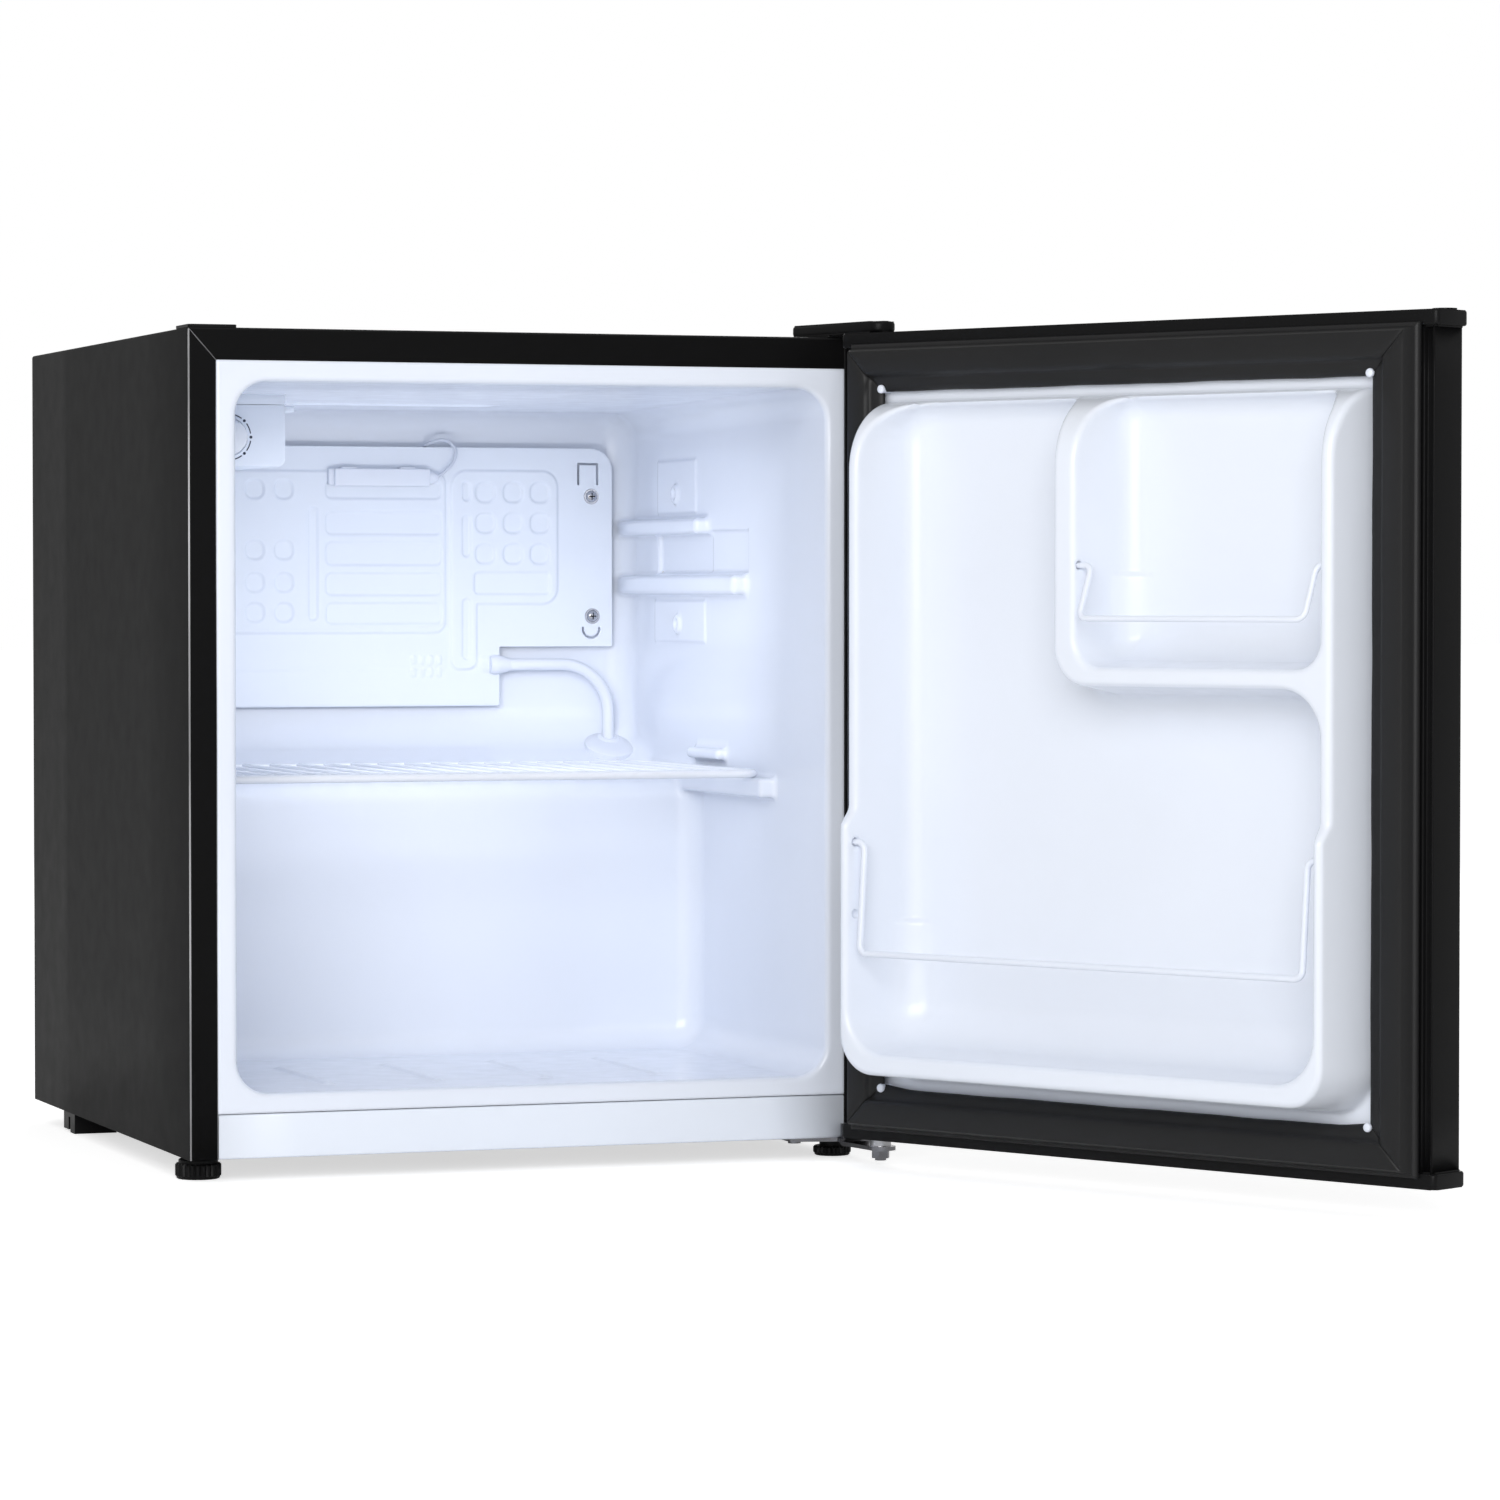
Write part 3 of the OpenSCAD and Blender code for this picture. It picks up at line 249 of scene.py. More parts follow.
def joined(*shapes):
    """One bmesh of several, which are freed."""
    whole = bmesh.new()
    for shape in shapes:
        held = bpy.data.meshes.new("held")
        shape.to_mesh(held)
        shape.free()
        whole.from_mesh(held)
        bpy.data.meshes.remove(held)
    return whole


def soften(shape, edges, r, steps):
    """Rounds edges to r, or leaves them sharp at 0."""
    if r > 0:
        bmesh.ops.bevel(shape, geom=list(edges), offset=r, segments=steps, profile=0.5, affect="EDGES")


def skin(shape, rings):
    """Faces between each ring of vertices and the next."""
    for low, high in zip(rings, rings[1:]):
        for k in range(len(low)):
            m = (k + 1) % len(low)
            shape.faces.new((low[k], low[m], high[m], high[k]))


def cuboid(low, high, r=0.6, steps=2):
    """Box between two corners, with all its edges rounded."""
    shape = bmesh.new()
    bmesh.ops.create_cube(shape, size=1.0)
    for v in shape.verts:
        v.co = Vector([a + (b - a) * (c + 0.5) for a, b, c in zip(low, high, v.co)])
    soften(shape, shape.edges, r, steps)
    return shape


def round_path(points, bend, closed=False, step=12.0):
    """Points of a path, 2D or 3D, with its corners rounded to one radius or a list of them."""
    points = [Vector(p) for p in points]
    count = len(points)
    radii = bend if isinstance(bend, (list, tuple)) else [bend] * count
    out = []
    for i, (p, r) in enumerate(zip(points, radii)):
        ends = not closed and i in (0, count - 1)
        if ends or r <= 0:
            out.append(p)
            continue
        u = (points[i - 1] - p).normalized()
        v = (points[(i + 1) % count] - p).normalized()
        angle = u.angle(v)
        turn = math.pi - angle
        if turn < 0.02:
            out.append(p)
            continue
        centre = p + (u + v).normalized() * (r / math.sin(angle / 2))
        start = p + u * (r / math.tan(angle / 2)) - centre
        end = p + v * (r / math.tan(angle / 2)) - centre
        pieces = max(2, math.ceil(math.degrees(turn) / step))
        for k in range(pieces + 1):
            t = k / pieces
            arc = start * math.sin((1 - t) * turn) + end * math.sin(t * turn)
            out.append(centre + arc / math.sin(turn))
    return out


def facing(axis, a, b, h):
    """Point of a drawing (a, b) raised by h along an axis."""
    return {"x": (h, a, b), "y": (a, h, b), "z": (a, b, h)}[axis]


def prism(outline, axis, start, end, r=0.4, steps=2):
    """Outline extruded along an axis, with its two rims rounded."""
    shape = bmesh.new()
    rings = [[shape.verts.new(facing(axis, *p, h)) for p in outline] for h in (start, end)]
    caps = [shape.faces.new(ring) for ring in rings]
    skin(shape, rings)
    soften(shape, {e for cap in caps for e in cap.edges}, r, steps)
    return shape


def ribbon(path, axis, stations):
    """Open sheet: a drawn path extruded along an axis through the stations."""
    shape = bmesh.new()
    rows = [[shape.verts.new(facing(axis, *p, h)) for p in path] for h in stations]
    for low, high in zip(rows, rows[1:]):
        for i in range(len(path) - 1):
            shape.faces.new((low[i], low[i + 1], high[i + 1], high[i]))
    return shape


def lathe(profile, centre=(0, 0, 0), axis="z", turns=40):
    """Closed solid of revolution from (radius, along) pairs that start and end on the axis."""
    shape = bmesh.new()
    angles = [2 * math.pi * k / turns for k in range(turns)]
    rings = []
    for r, h in profile:
        spots = [(r * math.cos(a), r * math.sin(a)) for a in angles] if r > 0 else [(0.0, 0.0)]
        rings.append([shape.verts.new(Vector(centre) + Vector(facing(axis, *s, h))) for s in spots])
    for low, high in zip(rings, rings[1:]):
        for k in range(turns):
            m = (k + 1) % turns
            face = [low[k % len(low)], low[m % len(low)], high[m % len(high)], high[k % len(high)]]
            face = [v for i, v in enumerate(face) if v not in face[:i]]
            if len(face) > 2:
                shape.faces.new(face)
    return shape


def fluted(profile, centre, flutes, depth, turns=144):
    """Upright knob from (radius, along, flute share) triples."""
    shape = bmesh.new()
    rings = []
    for r, h, share in profile:
        ring = []
        for k in range(turns):
            a = 2 * math.pi * k / turns
            reach = r - depth * share * (0.5 - 0.5 * math.cos(a * flutes)) ** 2
            spot = Vector((reach * math.cos(a), reach * math.sin(a), h))
            ring.append(shape.verts.new(Vector(centre) + spot))
        rings.append(ring)
    skin(shape, rings)
    shape.faces.new(rings[0])
    shape.faces.new(rings[-1])
    return shape


def tube(points, r, bend=0.0, sides=16, closed=False, step=12.0):
    """Round rod along a path whose corners bend."""
    path = round_path(points, bend, closed, step)
    count = len(path)
    shape = bmesh.new()
    rings = []
    normal = None
    for i, p in enumerate(path):
        before = path[i - 1] if closed or i > 0 else p
        after = path[(i + 1) % count] if closed or i < count - 1 else p
        along = (after - before).normalized()
        if normal is None:
            normal = along.orthogonal().normalized()
        normal = (normal - along * normal.dot(along)).normalized()
        across = along.cross(normal)
        rings.append([shape.verts.new(p + (normal * math.cos(a) + across * math.sin(a)) * r)
                      for a in (2 * math.pi * k / sides for k in range(sides))])
    skin(shape, rings + rings[:1] if closed else rings)
    if not closed:
        for ring in (rings[0], rings[-1]):
            soften(shape, shape.faces.new(ring).edges, r * 0.25, 2)
    return shape


def turned(shape, angle, axis, about):
    """The shape turned by degrees about an axis through a point."""
    about = Vector(about)
    move = (Matrix.Translation(about) @ Matrix.Rotation(math.radians(angle), 4, axis)
            @ Matrix.Translation(-about))
    bmesh.ops.transform(shape, matrix=move, verts=shape.verts)
    return shape


def mirrored(shape):
    """The shape and its mirror image across the middle of the appliance."""
    other = shape.copy()
    bmesh.ops.transform(other, matrix=Matrix.Diagonal((-1, 1, 1, 1)), verts=other.verts)
    return joined(shape, other)


def smooth_curve(points, pieces=6):
    """Curve through all points (Catmull-Rom)."""
    p = [Vector(q) for q in points]
    p = [p[0] * 2 - p[1]] + p + [p[-1] * 2 - p[-2]]
    out = []
    for i in range(1, len(p) - 2):
        for k in range(pieces):
            t = k / pieces
            out.append(0.5 * (2 * p[i] + (p[i + 1] - p[i - 1]) * t
                              + (2 * p[i - 1] - 5 * p[i] + 4 * p[i + 1] - p[i + 2]) * t * t
                              + (3 * p[i] - p[i - 1] - 3 * p[i + 1] + p[i + 2]) * t ** 3))
    out.append(p[-2])
    return out


def thicken(made, thickness):
    """Gives an open sheet its thickness, away from the side that its faces point to."""
    shell = made.modifiers.new("sheet", "SOLIDIFY")
    shell.thickness = thickness * MM
    shell.offset = -1.0
    shell.use_even_offset = False
    return made


def carry(node, material, edge=0.0):
    """Keeps a CAD node's shape, with a finished material and broken edges."""
    kept = frame["nodes"][node]
    kept.data.materials.clear()
    kept.data.materials.append(material)
    if edge:
        rounding = kept.modifiers.new("edges", "BEVEL")
        rounding.width = edge * MM
        rounding.segments = 2
        rounding.limit_method = "ANGLE"
        rounding.angle_limit = math.radians(40)
        rounding.harden_normals = False


# ---------- thermoformed sheets from distance fields ----------

def round_and(a, b, r):
    """Intersection of two distance fields, with its convex edge rounded to r."""
    u = np.maximum(a + r, 0.0)
    v = np.maximum(b + r, 0.0)
    return np.minimum(-r, np.maximum(a, b)) + np.sqrt(u * u + v * v)


def round_or(a, b, r):
    """Union of two distance fields, with its inner edge filled to r."""
    return -round_and(-a, -b, r)


def common(*fields):
    """Intersection of distance fields, with sharp edges."""
    return functools.reduce(np.maximum, fields)


def slab(value, low, high):
    """Distance to the layer between low and high, negative inside."""
    return np.maximum(low - value, value - high)


def box_field(x, y, z, low, high, r):
    """Distance to a box with round edges, negative inside."""
    centre = [(a + b) / 2 for a, b in zip(low, high)]
    half = [(b - a) / 2 - r for a, b in zip(low, high)]
    q = [np.abs(v - c) - h for v, c, h in zip((x, y, z), centre, half)]
    outside = np.sqrt(sum(np.maximum(v, 0.0) ** 2 for v in q))
    inside = np.minimum(common(*q), 0.0)
    return outside + inside - r


def rise(value, start, end):
    """Smooth step from 0 at start to 1 at end."""
    t = np.clip((value - start) / (end - start), 0.0, 1.0)
    return t * t * (3.0 - 2.0 * t)


def lines(start, *spans):
    """Uneven grid from start on, through spans of (end, step)."""
    out = []
    for end, step in spans:
        count = max(1, int(round((end - start) / step)))
        out.extend(np.linspace(start, end, count, endpoint=False))
        start = end
    out.append(start)
    return np.array(out)


def surface_net(field, xs, ys, zs, polish=3):
    """Smooth mesh of the zero level of a field over an uneven grid, facing the positive side."""
    shape = (len(xs), len(ys), len(zs))
    values = np.broadcast_to(field(xs[:, None, None], ys[None, :, None], zs[None, None, :]), shape)
    inside = values < 0
    cells = tuple(count - 1 for count in shape)
    total = math.prod(cells)
    sums = np.zeros((total, 3))
    counts = np.zeros(total)
    axes = (xs, ys, zs)
    crossings = []
    for axis in range(3):
        a = np.take(inside, range(shape[axis] - 1), axis)
        b = np.take(inside, range(1, shape[axis]), axis)
        found = np.argwhere(a != b)
        far = found.copy()
        far[:, axis] += 1
        v0 = values[tuple(found.T)]
        v1 = values[tuple(far.T)]
        t = v0 / (v0 - v1)
        point = np.stack([axes[k][found[:, k]] for k in range(3)], 1).astype(float)
        point[:, axis] += t * (axes[axis][far[:, axis]] - axes[axis][found[:, axis]])
        p, q = [k for k in range(3) if k != axis]
        around = []
        for dp, dq in ((-1, -1), (0, -1), (0, 0), (-1, 0)):
            cell = found.copy()
            cell[:, p] += dp
            cell[:, q] += dq
            good = ((cell >= 0) & (cell < np.array(cells))).all(1)
            flat = np.where(good, np.ravel_multi_index(np.clip(cell, 0, np.array(cells) - 1).T, cells), -1)
            for k in range(3):
                sums[:, k] += np.bincount(flat[good], point[good, k], total)
            counts += np.bincount(flat[good], minlength=total)
            around.append(flat)
        quad = np.stack(around, 1)
        kept = inside[tuple(found.T)] ^ (axis == 1)
        quad[~kept] = quad[~kept][:, ::-1]
        crossings.append(quad[(quad >= 0).all(1)])
    used = np.flatnonzero(counts)
    index = np.full(total, -1)
    index[used] = np.arange(len(used))
    vertices = sums[used] / counts[used, None]
    faces = index[np.concatenate(crossings)]
    eps = 0.05
    for _ in range(polish):
        x, y, z = vertices.T
        here = field(x, y, z)
        slope = np.stack([
            field(x + eps, y, z) - field(x - eps, y, z),
            field(x, y + eps, z) - field(x, y - eps, z),
            field(x, y, z + eps) - field(x, y, z - eps)], 1) / (2 * eps)
        size = np.maximum((slope ** 2).sum(1), 0.2)
        move = -(here / size)[:, None] * slope
        length = np.linalg.norm(move, axis=1)
        move *= np.minimum(1.0, 1.0 / np.maximum(length, 1e-6))[:, None]
        vertices = vertices + move
    return vertices.tolist(), faces.tolist()


# ---------- cabinet liner ----------

LEDGE_SLOPE = math.radians(26)
CAVITY_HALF, CAVITY_FLOOR, CAVITY_TOP, CAVITY_REAR, CAVITY_CORNER = 189.0, 53.0, 482.0, 168.0, 20.0
HUMP_Y, HUMP_Z = 28.0, 232.0


def cabinet_field(x, y, z):
    """Negative in the foamed wall, positive in the room of the interior."""
    ax = np.abs(x)
    depth = np.clip((y - FRONT_Y) / (CAVITY_REAR - FRONT_Y), 0.0, 1.0)
    half = CAVITY_HALF - 1.6 * depth
    top = CAVITY_TOP - 4.0 * rise(y, -150.0, 150.0)
    r = CAVITY_CORNER
    qx = ax - (half - r)
    qz = np.abs(z - (top + CAVITY_FLOOR) / 2) - ((top - CAVITY_FLOOR) / 2 - r)
    qy = y - (CAVITY_REAR - r)
    room = (np.sqrt(np.maximum(qx, 0) ** 2 + np.maximum(qy, 0) ** 2 + np.maximum(qz, 0) ** 2)
            + np.minimum(common(qx, qy, qz), 0.0) - r)
    ledge = (z - HUMP_Z - (y - 118.0) * math.tan(LEDGE_SLOPE)) * math.cos(LEDGE_SLOPE)
    hump = round_and(HUMP_Y - y, round_or(z - HUMP_Z, ledge, 10.0), 14.0)
    room = round_and(room, -hump, 17.0)

    wall = rise(ax, 160.0, 176.0)
    pad = 1.3 * wall * (
        rise(-slab(y, 26.0, 104.0), -0.8, 1.2) * rise(-slab(z, 408.0, 444.0), -0.8, 1.2)
        + rise(-slab(y, 8.0, 110.0), -0.8, 1.2) * rise(-slab(z, 322.0, 350.0), -0.8, 1.2))
    for boss_y, boss_z in ((64.0, 421.0), (60.0, 334.0)):
        away = np.sqrt((y - boss_y) ** 2 + (z - boss_z) ** 2)
        pad = pad + wall * (2.4 * rise(-away, -7.5, -5.5) - 1.8 * rise(-away, -3.8, -2.4))
    sunk = rise(-slab(y, -73.0, 104.0), -0.8, 1.2) * rise(-slab(z, 368.0, 396.0), -0.8, 1.2)
    pad = pad - wall * sunk * (2.6 + 0.6 * rise(y, 1.0, 3.0))
    floor = rise(-z, -70.0, -60.0)
    for groove_x in (-119.0, -49.0, 22.0, 93.0):
        along = rise(-slab(y, -172.0, -43.0), -1.0, 8.0)
        pad = pad + 1.5 * floor * along * rise(-np.abs(x - groove_x), -4.5, -1.5)
    ceiling = rise(z, 462.0, 472.0)
    pad = pad + 1.2 * ceiling * rise(-slab(x, -95.0, 60.0), -2.0, 12.0) * rise(-np.abs(y - 60.0), -6.0, -2.0)
    room = room + pad

    for low, high, r in (
            ((177.0, -126.0, 224.0), (202.0, 105.0, 236.2), 2.2),
            ((180.5, -34.0, 245.5), (202.0, 28.0, 252.6), 3.0),
            ((177.5, 1.0, 394.0), (202.0, 174.0, 404.5), 3.6),
            ((177.5, -73.0, 354.0), (202.0, 174.0, 366.5), 3.6)):
        rib = box_field(ax, y, z, low, high, r)
        room = round_and(room, -rib, 3.5)
    return round_and(FRONT_Y - y, -room, 3.5)


xs = lines(-202.2, (-196, 2.1), (-160, 1.8), (-125, 6), (-113, 1.5), (-55, 6.5), (-43, 1.5),
           (16, 6.5), (28, 1.5), (87, 6.5), (99, 1.5), (160, 6.5), (196, 1.5), (202.2, 2.1))
ys = lines(-217.5, (-206, 1.15), (-176, 6), (-162, 2), (-130, 6), (-122, 1.6), (-77, 6), (-69, 1.0),
           (-38, 5), (-30, 1.6), (-2, 5), (12, 1.2), (24, 2), (30, 1.2), (50, 3), (73, 1.3),
           (98, 4), (112, 1.4), (132, 3), (172, 2))
zs = lines(40.6, (44, 1.7), (78, 1.8), (208, 7), (222, 2), (256, 1.4), (318, 6), (412, 1.4),
           (430, 1.3), (440, 3), (447, 1.2), (456, 3), (490, 1.8), (495.4, 1.8))
cabinet_sheet = surface_net(cabinet_field, xs, ys, zs)
thicken(place(cabinet_sheet, "inner_liner_sheet", "cabinet", M["liner"], ["inner_liner"],
              sharp=70), 0.9)


def cabinet_foam_field(x, y, z):
    """Positive outside the foam that fills the cabinet's wall."""
    outside = common(np.abs(x) - 218.0, slab(z, 16.4, 513.0), slab(y, -212.0, 206.0))
    beam = -np.maximum(y + 202.8, z - 42.0)
    bay = -np.maximum(54.4 - y, z - 200.2)
    return common(outside, cabinet_field(x, y, z) + 2.4, beam, bay)


xs = lines(-219, (-217, 1), (-170, 3), (170, 12), (217, 3), (219, 1))
ys = lines(-213, (-201, 1.5), (16, 9), (52, 4), (56, 1), (130, 8), (172, 4), (204, 8), (207, 1))
zs = lines(15.4, (17.4, 1), (41, 5), (44, 1), (78, 4), (198, 8), (202, 1), (256, 3.5), (320, 8),
           (410, 3.5), (455, 6), (500, 4), (512, 6), (514, 1))
place(surface_net(cabinet_foam_field, xs, ys, zs, 1), "cabinet_foam_block", "cabinet", M["foam"],
      ["cabinet_foam"], sharp=40)

# ---------- door liner ----------

BIN_HOLES, POCKET_HOLE = (160.5, 204.0), 371.0


def corner_rect(x, z, x0, x1, z0, z1, r):
    """Distance to an upright rectangle with round corners, negative inside it."""
    qx = np.abs(x - (x0 + x1) / 2) - ((x1 - x0) / 2 - r)
    qz = np.abs(z - (z0 + z1) / 2) - ((z1 - z0) / 2 - r)
    return np.sqrt(np.maximum(qx, 0) ** 2 + np.maximum(qz, 0) ** 2) + np.minimum(np.maximum(qx, qz), 0) - r


def door_field(x, y, z):
    """Negative in the door's foam, positive in the room of its pockets; y is the shut door's."""
    h = y - LINER_Y
    lift = h + 4.0
    outline = corner_rect(x, z, -183.5, 183.5, 58.5 + 0.05 * h, 700.0, 27.0) + 0.06 * h
    step = 1.0 - rise(z, 213.0, 226.0)
    crest = 42.0 + 8.0 * step
    ramp = np.sqrt(np.maximum(h, 0.0) ** 2 + np.maximum(z - 429.0, 0.0) ** 2) - 42.0
    top = np.where(z > 429.0, ramp, h - crest)
    body = round_and(outline, top, 3.4)

    upper = corner_rect(x, z, -166.0, -2.9, 318.4, 467.0, 11.0)
    keep = round_and(x - 27.4, 293.6 - z, 30.0)
    lower = round_and(corner_rect(x, z, -166.0, 166.0, 84.5, 467.0, 20.0), -keep,
                      22.0 - 17.0 * rise(z, 340.0, 400.0))
    pools = np.minimum(upper, lower) - 0.16 * lift
    for hole_z in BIN_HOLES:
        hole = np.sqrt((h - 42.0) ** 2 + (z - hole_z) ** 2) - 2.6
        pools = np.minimum(pools, round_and(hole, np.abs(x) - 176.0, 1.0))
    hole = np.sqrt((h - 37.0) ** 2 + (z - POCKET_HOLE) ** 2) - 2.4
    pools = np.minimum(pools, round_and(hole, slab(x, -176.0, 8.0), 1.0))
    ledge = np.where(z > 300.0, rise(-z, -368.0, -364.0) * rise(-x, -12.0, -8.0), rise(-z, -157.0, -153.0))
    room = round_and(pools, -lift, 11.0 + 8.0 * ledge + 7.0 * rise(-z, -145.0, -95.0))
    solid = round_or(np.minimum(body, 400.0), h, 3.0)
    return round_and(solid, -room, 3.2)


xs = lines(-214.6, (-205.4, 9.2), (-188, 8), (-158, 1.25), (-12, 6), (36, 1.4), (158, 6),
           (188, 1.25), (205.4, 8), (214.6, 9.2))
ys = lines(-234, (-224, 1.25), (-194, 2.5), (-174.5, 1.4))
zs = lines(25, (30, 5), (54, 6), (60, 1.25), (96, 1.8), (151, 6), (165, 1.2), (200, 6), (232, 1.6),
           (288, 5), (338, 1.6), (362, 6), (378, 1.2), (424, 6), (478, 2.0), (502, 6), (507, 5))
thicken(place(surface_net(door_field, xs, ys, zs), "door_liner_sheet", "door", M["door_liner"],
              ["door_liner"], SWING, sharp=70), 0.9)


def door_foam_field(x, y, z):
    """Positive outside the foam that fills the door."""
    return common(np.abs(x) - 207.0, slab(z, 28.0, 504.5), -256.0 - y, door_field(x, y, z) + 2.2)


xs = lines(-208, (-206, 1), (-190, 8), (-156, 3), (-14, 10), (38, 3), (156, 10), (190, 3), (206, 8),
           (208, 1))
ys = lines(-257, (-255, 1), (-236, 8), (-222, 2.4), (-174, 3))
zs = lines(27, (29, 1), (54, 8), (100, 3.5), (200, 10), (232, 3.5), (286, 8), (338, 3), (424, 10),
           (480, 4), (503.5, 8), (505.5, 1))
place(surface_net(door_foam_field, xs, ys, zs, 1), "door_foam_block", "door", M["foam"],
      ["door_foam"], SWING, sharp=40)

# ---------- evaporator ----------


def relief(x, z, x0, x1, z0, z1, r, edge=1.2):
    """Share of 0 to 1 that a pressed rectangle stands out."""
    return rise(-corner_rect(x, z, x0, x1, z0, z1, r), -edge, edge)


def plate_height(x, z):
    """How far the inflated channels of the roll-bond plate stand out."""
    left = relief(x, z, -400.0, 53.0, 327.8, 437.0, 8.0)
    right = np.maximum(relief(x, z, 57.0, 133.0, 347.3, 438.0, 11.0),
                       relief(x, z, 57.0, 75.2, 303.0, 380.0, 6.0))
    low = 0.4 * relief(x, z, -400.0, 53.0, 302.5, 330.0, 2.0)
    islands = 0.0
    for z0, z1 in ((333.9, 348.1), (353.0, 368.4), (373.6, 389.1), (394.3, 409.5), (418.5, 430.5)):
        islands = islands + relief(x, z, -31.0, 50.0, z0, z1, 4.0)
    for x0, x1, z0, z1 in ((-43.0, -36.8, 336.5, 412.5), (65.0, 70.8, 379.5, 407.5),
                           (65.0, 70.8, 309.5, 351.0), (65.0, 70.8, 417.5, 430.5),
                           (73.5, 127.3, 354.0, 369.0)):
        islands = islands + relief(x, z, x0, x1, z0, z1, 2.9)
    for half, columns, rows in (
            (6.8, (81.2, 101.0, 120.2), (381.4, 402.4, 423.3)),
            (6.4, (-141.0, -120.8, -100.6, -80.4, -60.2), (341.7, 361.9, 383.7, 424.5))):
        for cx in columns:
            for cz in rows:
                islands = islands + relief(x, z, cx - half, cx + half, cz - half, cz + half, 5.4)
    comb = 0.0
    for cx in (30.5, 36.5, 42.5, 48.5):
        for cz in (301.0, 309.5):
            comb = comb + relief(x, z, cx - 1.6, cx + 1.6, cz - 3.0, cz + 3.0, 1.5, 0.9)
    port = relief(x, z, 76.0, 92.0, 302.0, 312.0, 4.9, 2.0)
    return 1.5 * (np.maximum(left, right) - np.clip(islands, 0, 1)) + low + 0.9 * comb + 1.2 * port


def plate_field(x, y, z):
    """Distance to the pressed plate, with its cut marks."""
    upper = np.maximum(corner_rect(x, z, -500.0, 172.6, 100.0, 453.8, 15.0), 318.0 - z)
    lower = common(x - 92.0, 278.0 - z, z - 330.0)
    outline = np.maximum(np.minimum(upper, lower), -150.0 - x)
    for x0, x1, z0, z1 in ((147.6, 149.0, 428.8, 443.8), (161.2, 162.6, 428.8, 443.8),
                           (147.6, 162.6, 442.4, 443.8)):
        outline = np.maximum(outline, -corner_rect(x, z, x0, x1, z0, z1, 0.3))
    eye = np.abs(np.sqrt((x - 157.5) ** 2 + (z - 330.2) ** 2) - 5.9) - 0.7
    outline = np.maximum(outline, -np.maximum(eye, z - 331.5))
    body = np.abs(y - (159.8 - plate_height(x, z))) - 0.75
    return round_and(outline, body, 0.35)


xs = lines(-151.2, (-148.8, 1.2), (-100, 2.0), (144, 1.15), (174.5, 0.8))
ys = lines(156.6, (161.4, 0.48))
zs = lines(276, (300, 1.6), (316, 1.1), (336, 0.9), (426, 1.15), (446, 0.8), (455.5, 1.1))
place(surface_net(plate_field, xs, ys, zs), "evaporator_plate_pressed", "cabinet", M["plate"],
      ["evaporator_plate"], sharp=50)


def pan_head(x, y, z):
    """Head and shank of a pan-head screw driven towards +Y."""
    return joined(lathe([(0, -2.0), (2.0, -1.9), (3.3, -1.3), (4.0, -0.3), (4.0, 0.0), (1.9, 0.05), (1.9, 18),
                         (0, 19.5)], (x, y, z), "y", 32),
                  lathe([(0, -0.35), (5.2, -0.3), (5.4, 0.0), (0, 0.1)], (x, y, z), "y", 32))


def cross_slot(x, y, z):
    """Dark cross in a screw's head, painted shade that stands in for the slot's recess."""
    return joined(*[cuboid((x - w, y - 2.06, z - h), (x + w, y - 1.2, z + h), 0.1, 1)
                    for w, h in ((2.3, 0.42), (0.42, 2.3))])


BOLTS = ((157.6, 421.0), (158.3, 339.0), (-138.0, 421.0), (-138.0, 298.0))
place(joined(*[pan_head(x, 159.0, z) for x, z in BOLTS]), "evaporator_screw_heads", "cabinet", M["bright"],
      ["evaporator_screws"])
place(joined(*[cross_slot(x, 159.0, z) for x, z in BOLTS]), "evaporator_screw_slot_shade", "cabinet", M["shadow"])

socket = lathe([(0, 0), (5.6, 0.2), (6.6, 3.0), (6.2, 8.0), (4.4, 14.0), (4.2, 17.0), (0, 17.2)],
               (84.0, 157.4, 306.0), "x", 32)
place(joined(tube([(90, 157, 306), (169, 157, 306), (169, 157, 235)], 4.0, 33.0, 28, step=6.0), socket),
      "evaporator_tube_sleeve", "cabinet", M["soft"], ["evaporator_tube"], sharp=50)
DISC_AT, COLLAR_AT, GROMMET_TILT = (167.6, 149.6, 249.6), (169.0, 157.0, 252.6), 26
disc = lathe([(0, -6.4), (16.0, -6.2), (17.5, 0.4), (17.3, 1.6), (16.2, 2.4), (9.0, 2.8), (0, 2.8)],
             DISC_AT, "z", 64)
collar = lathe([(0, -2.0), (8.4, -2.0), (8.0, 3.0), (6.4, 4.2), (5.2, 4.4), (4.6, 3.8), (0, 3.7)],
               COLLAR_AT, "z", 40)
place(joined(turned(disc, GROMMET_TILT, "X", DISC_AT), turned(collar, GROMMET_TILT, "X", COLLAR_AT)),
      "tube_grommet_disc", "cabinet", M["soft"], ["tube_grommet"])

holder = joined(cuboid((-26.4, 151.0, 427.0), (40.5, 158.6, 438.8), 1.0, 3),
                cuboid((-30.0, 153.6, 427.6), (-26.0, 158.6, 438.6), 0.8),
                cuboid((-20.9, 152.4, 438.2), (-10.6, 158.4, 439.8), 0.4),
                cuboid((19.8, 152.4, 438.2), (30.3, 158.4, 439.8), 0.4),
                lathe([(0, 0), (4.6, 0.2), (4.4, 3.0), (2.6, 6.4), (1.6, 7.2), (0, 7.3)],
                      (40.0, 155.0, 433.0), "x", 28))
place(holder, "sensor_holder_clip", "cabinet", M["white_part"], ["sensor_holder"])
loop = smooth_curve([(44, 155, 433), (49.5, 154, 435.6), (56.5, 153.4, 442.5), (59.0, 153.4, 450),
                     (56.0, 154, 456.2), (50.5, 154.8, 458.6), (45.0, 156.4, 457.8), (41.5, 160.5, 456.0),
                     (39.5, 165, 453.5), (39, 169, 452.5)], 7)
place(tube(loop, 1.1, 0, 12), "sensor_capillary_loop", "cabinet", M["capillary"],
      ["sensor_capillary"])

# ---------- thermostat ----------

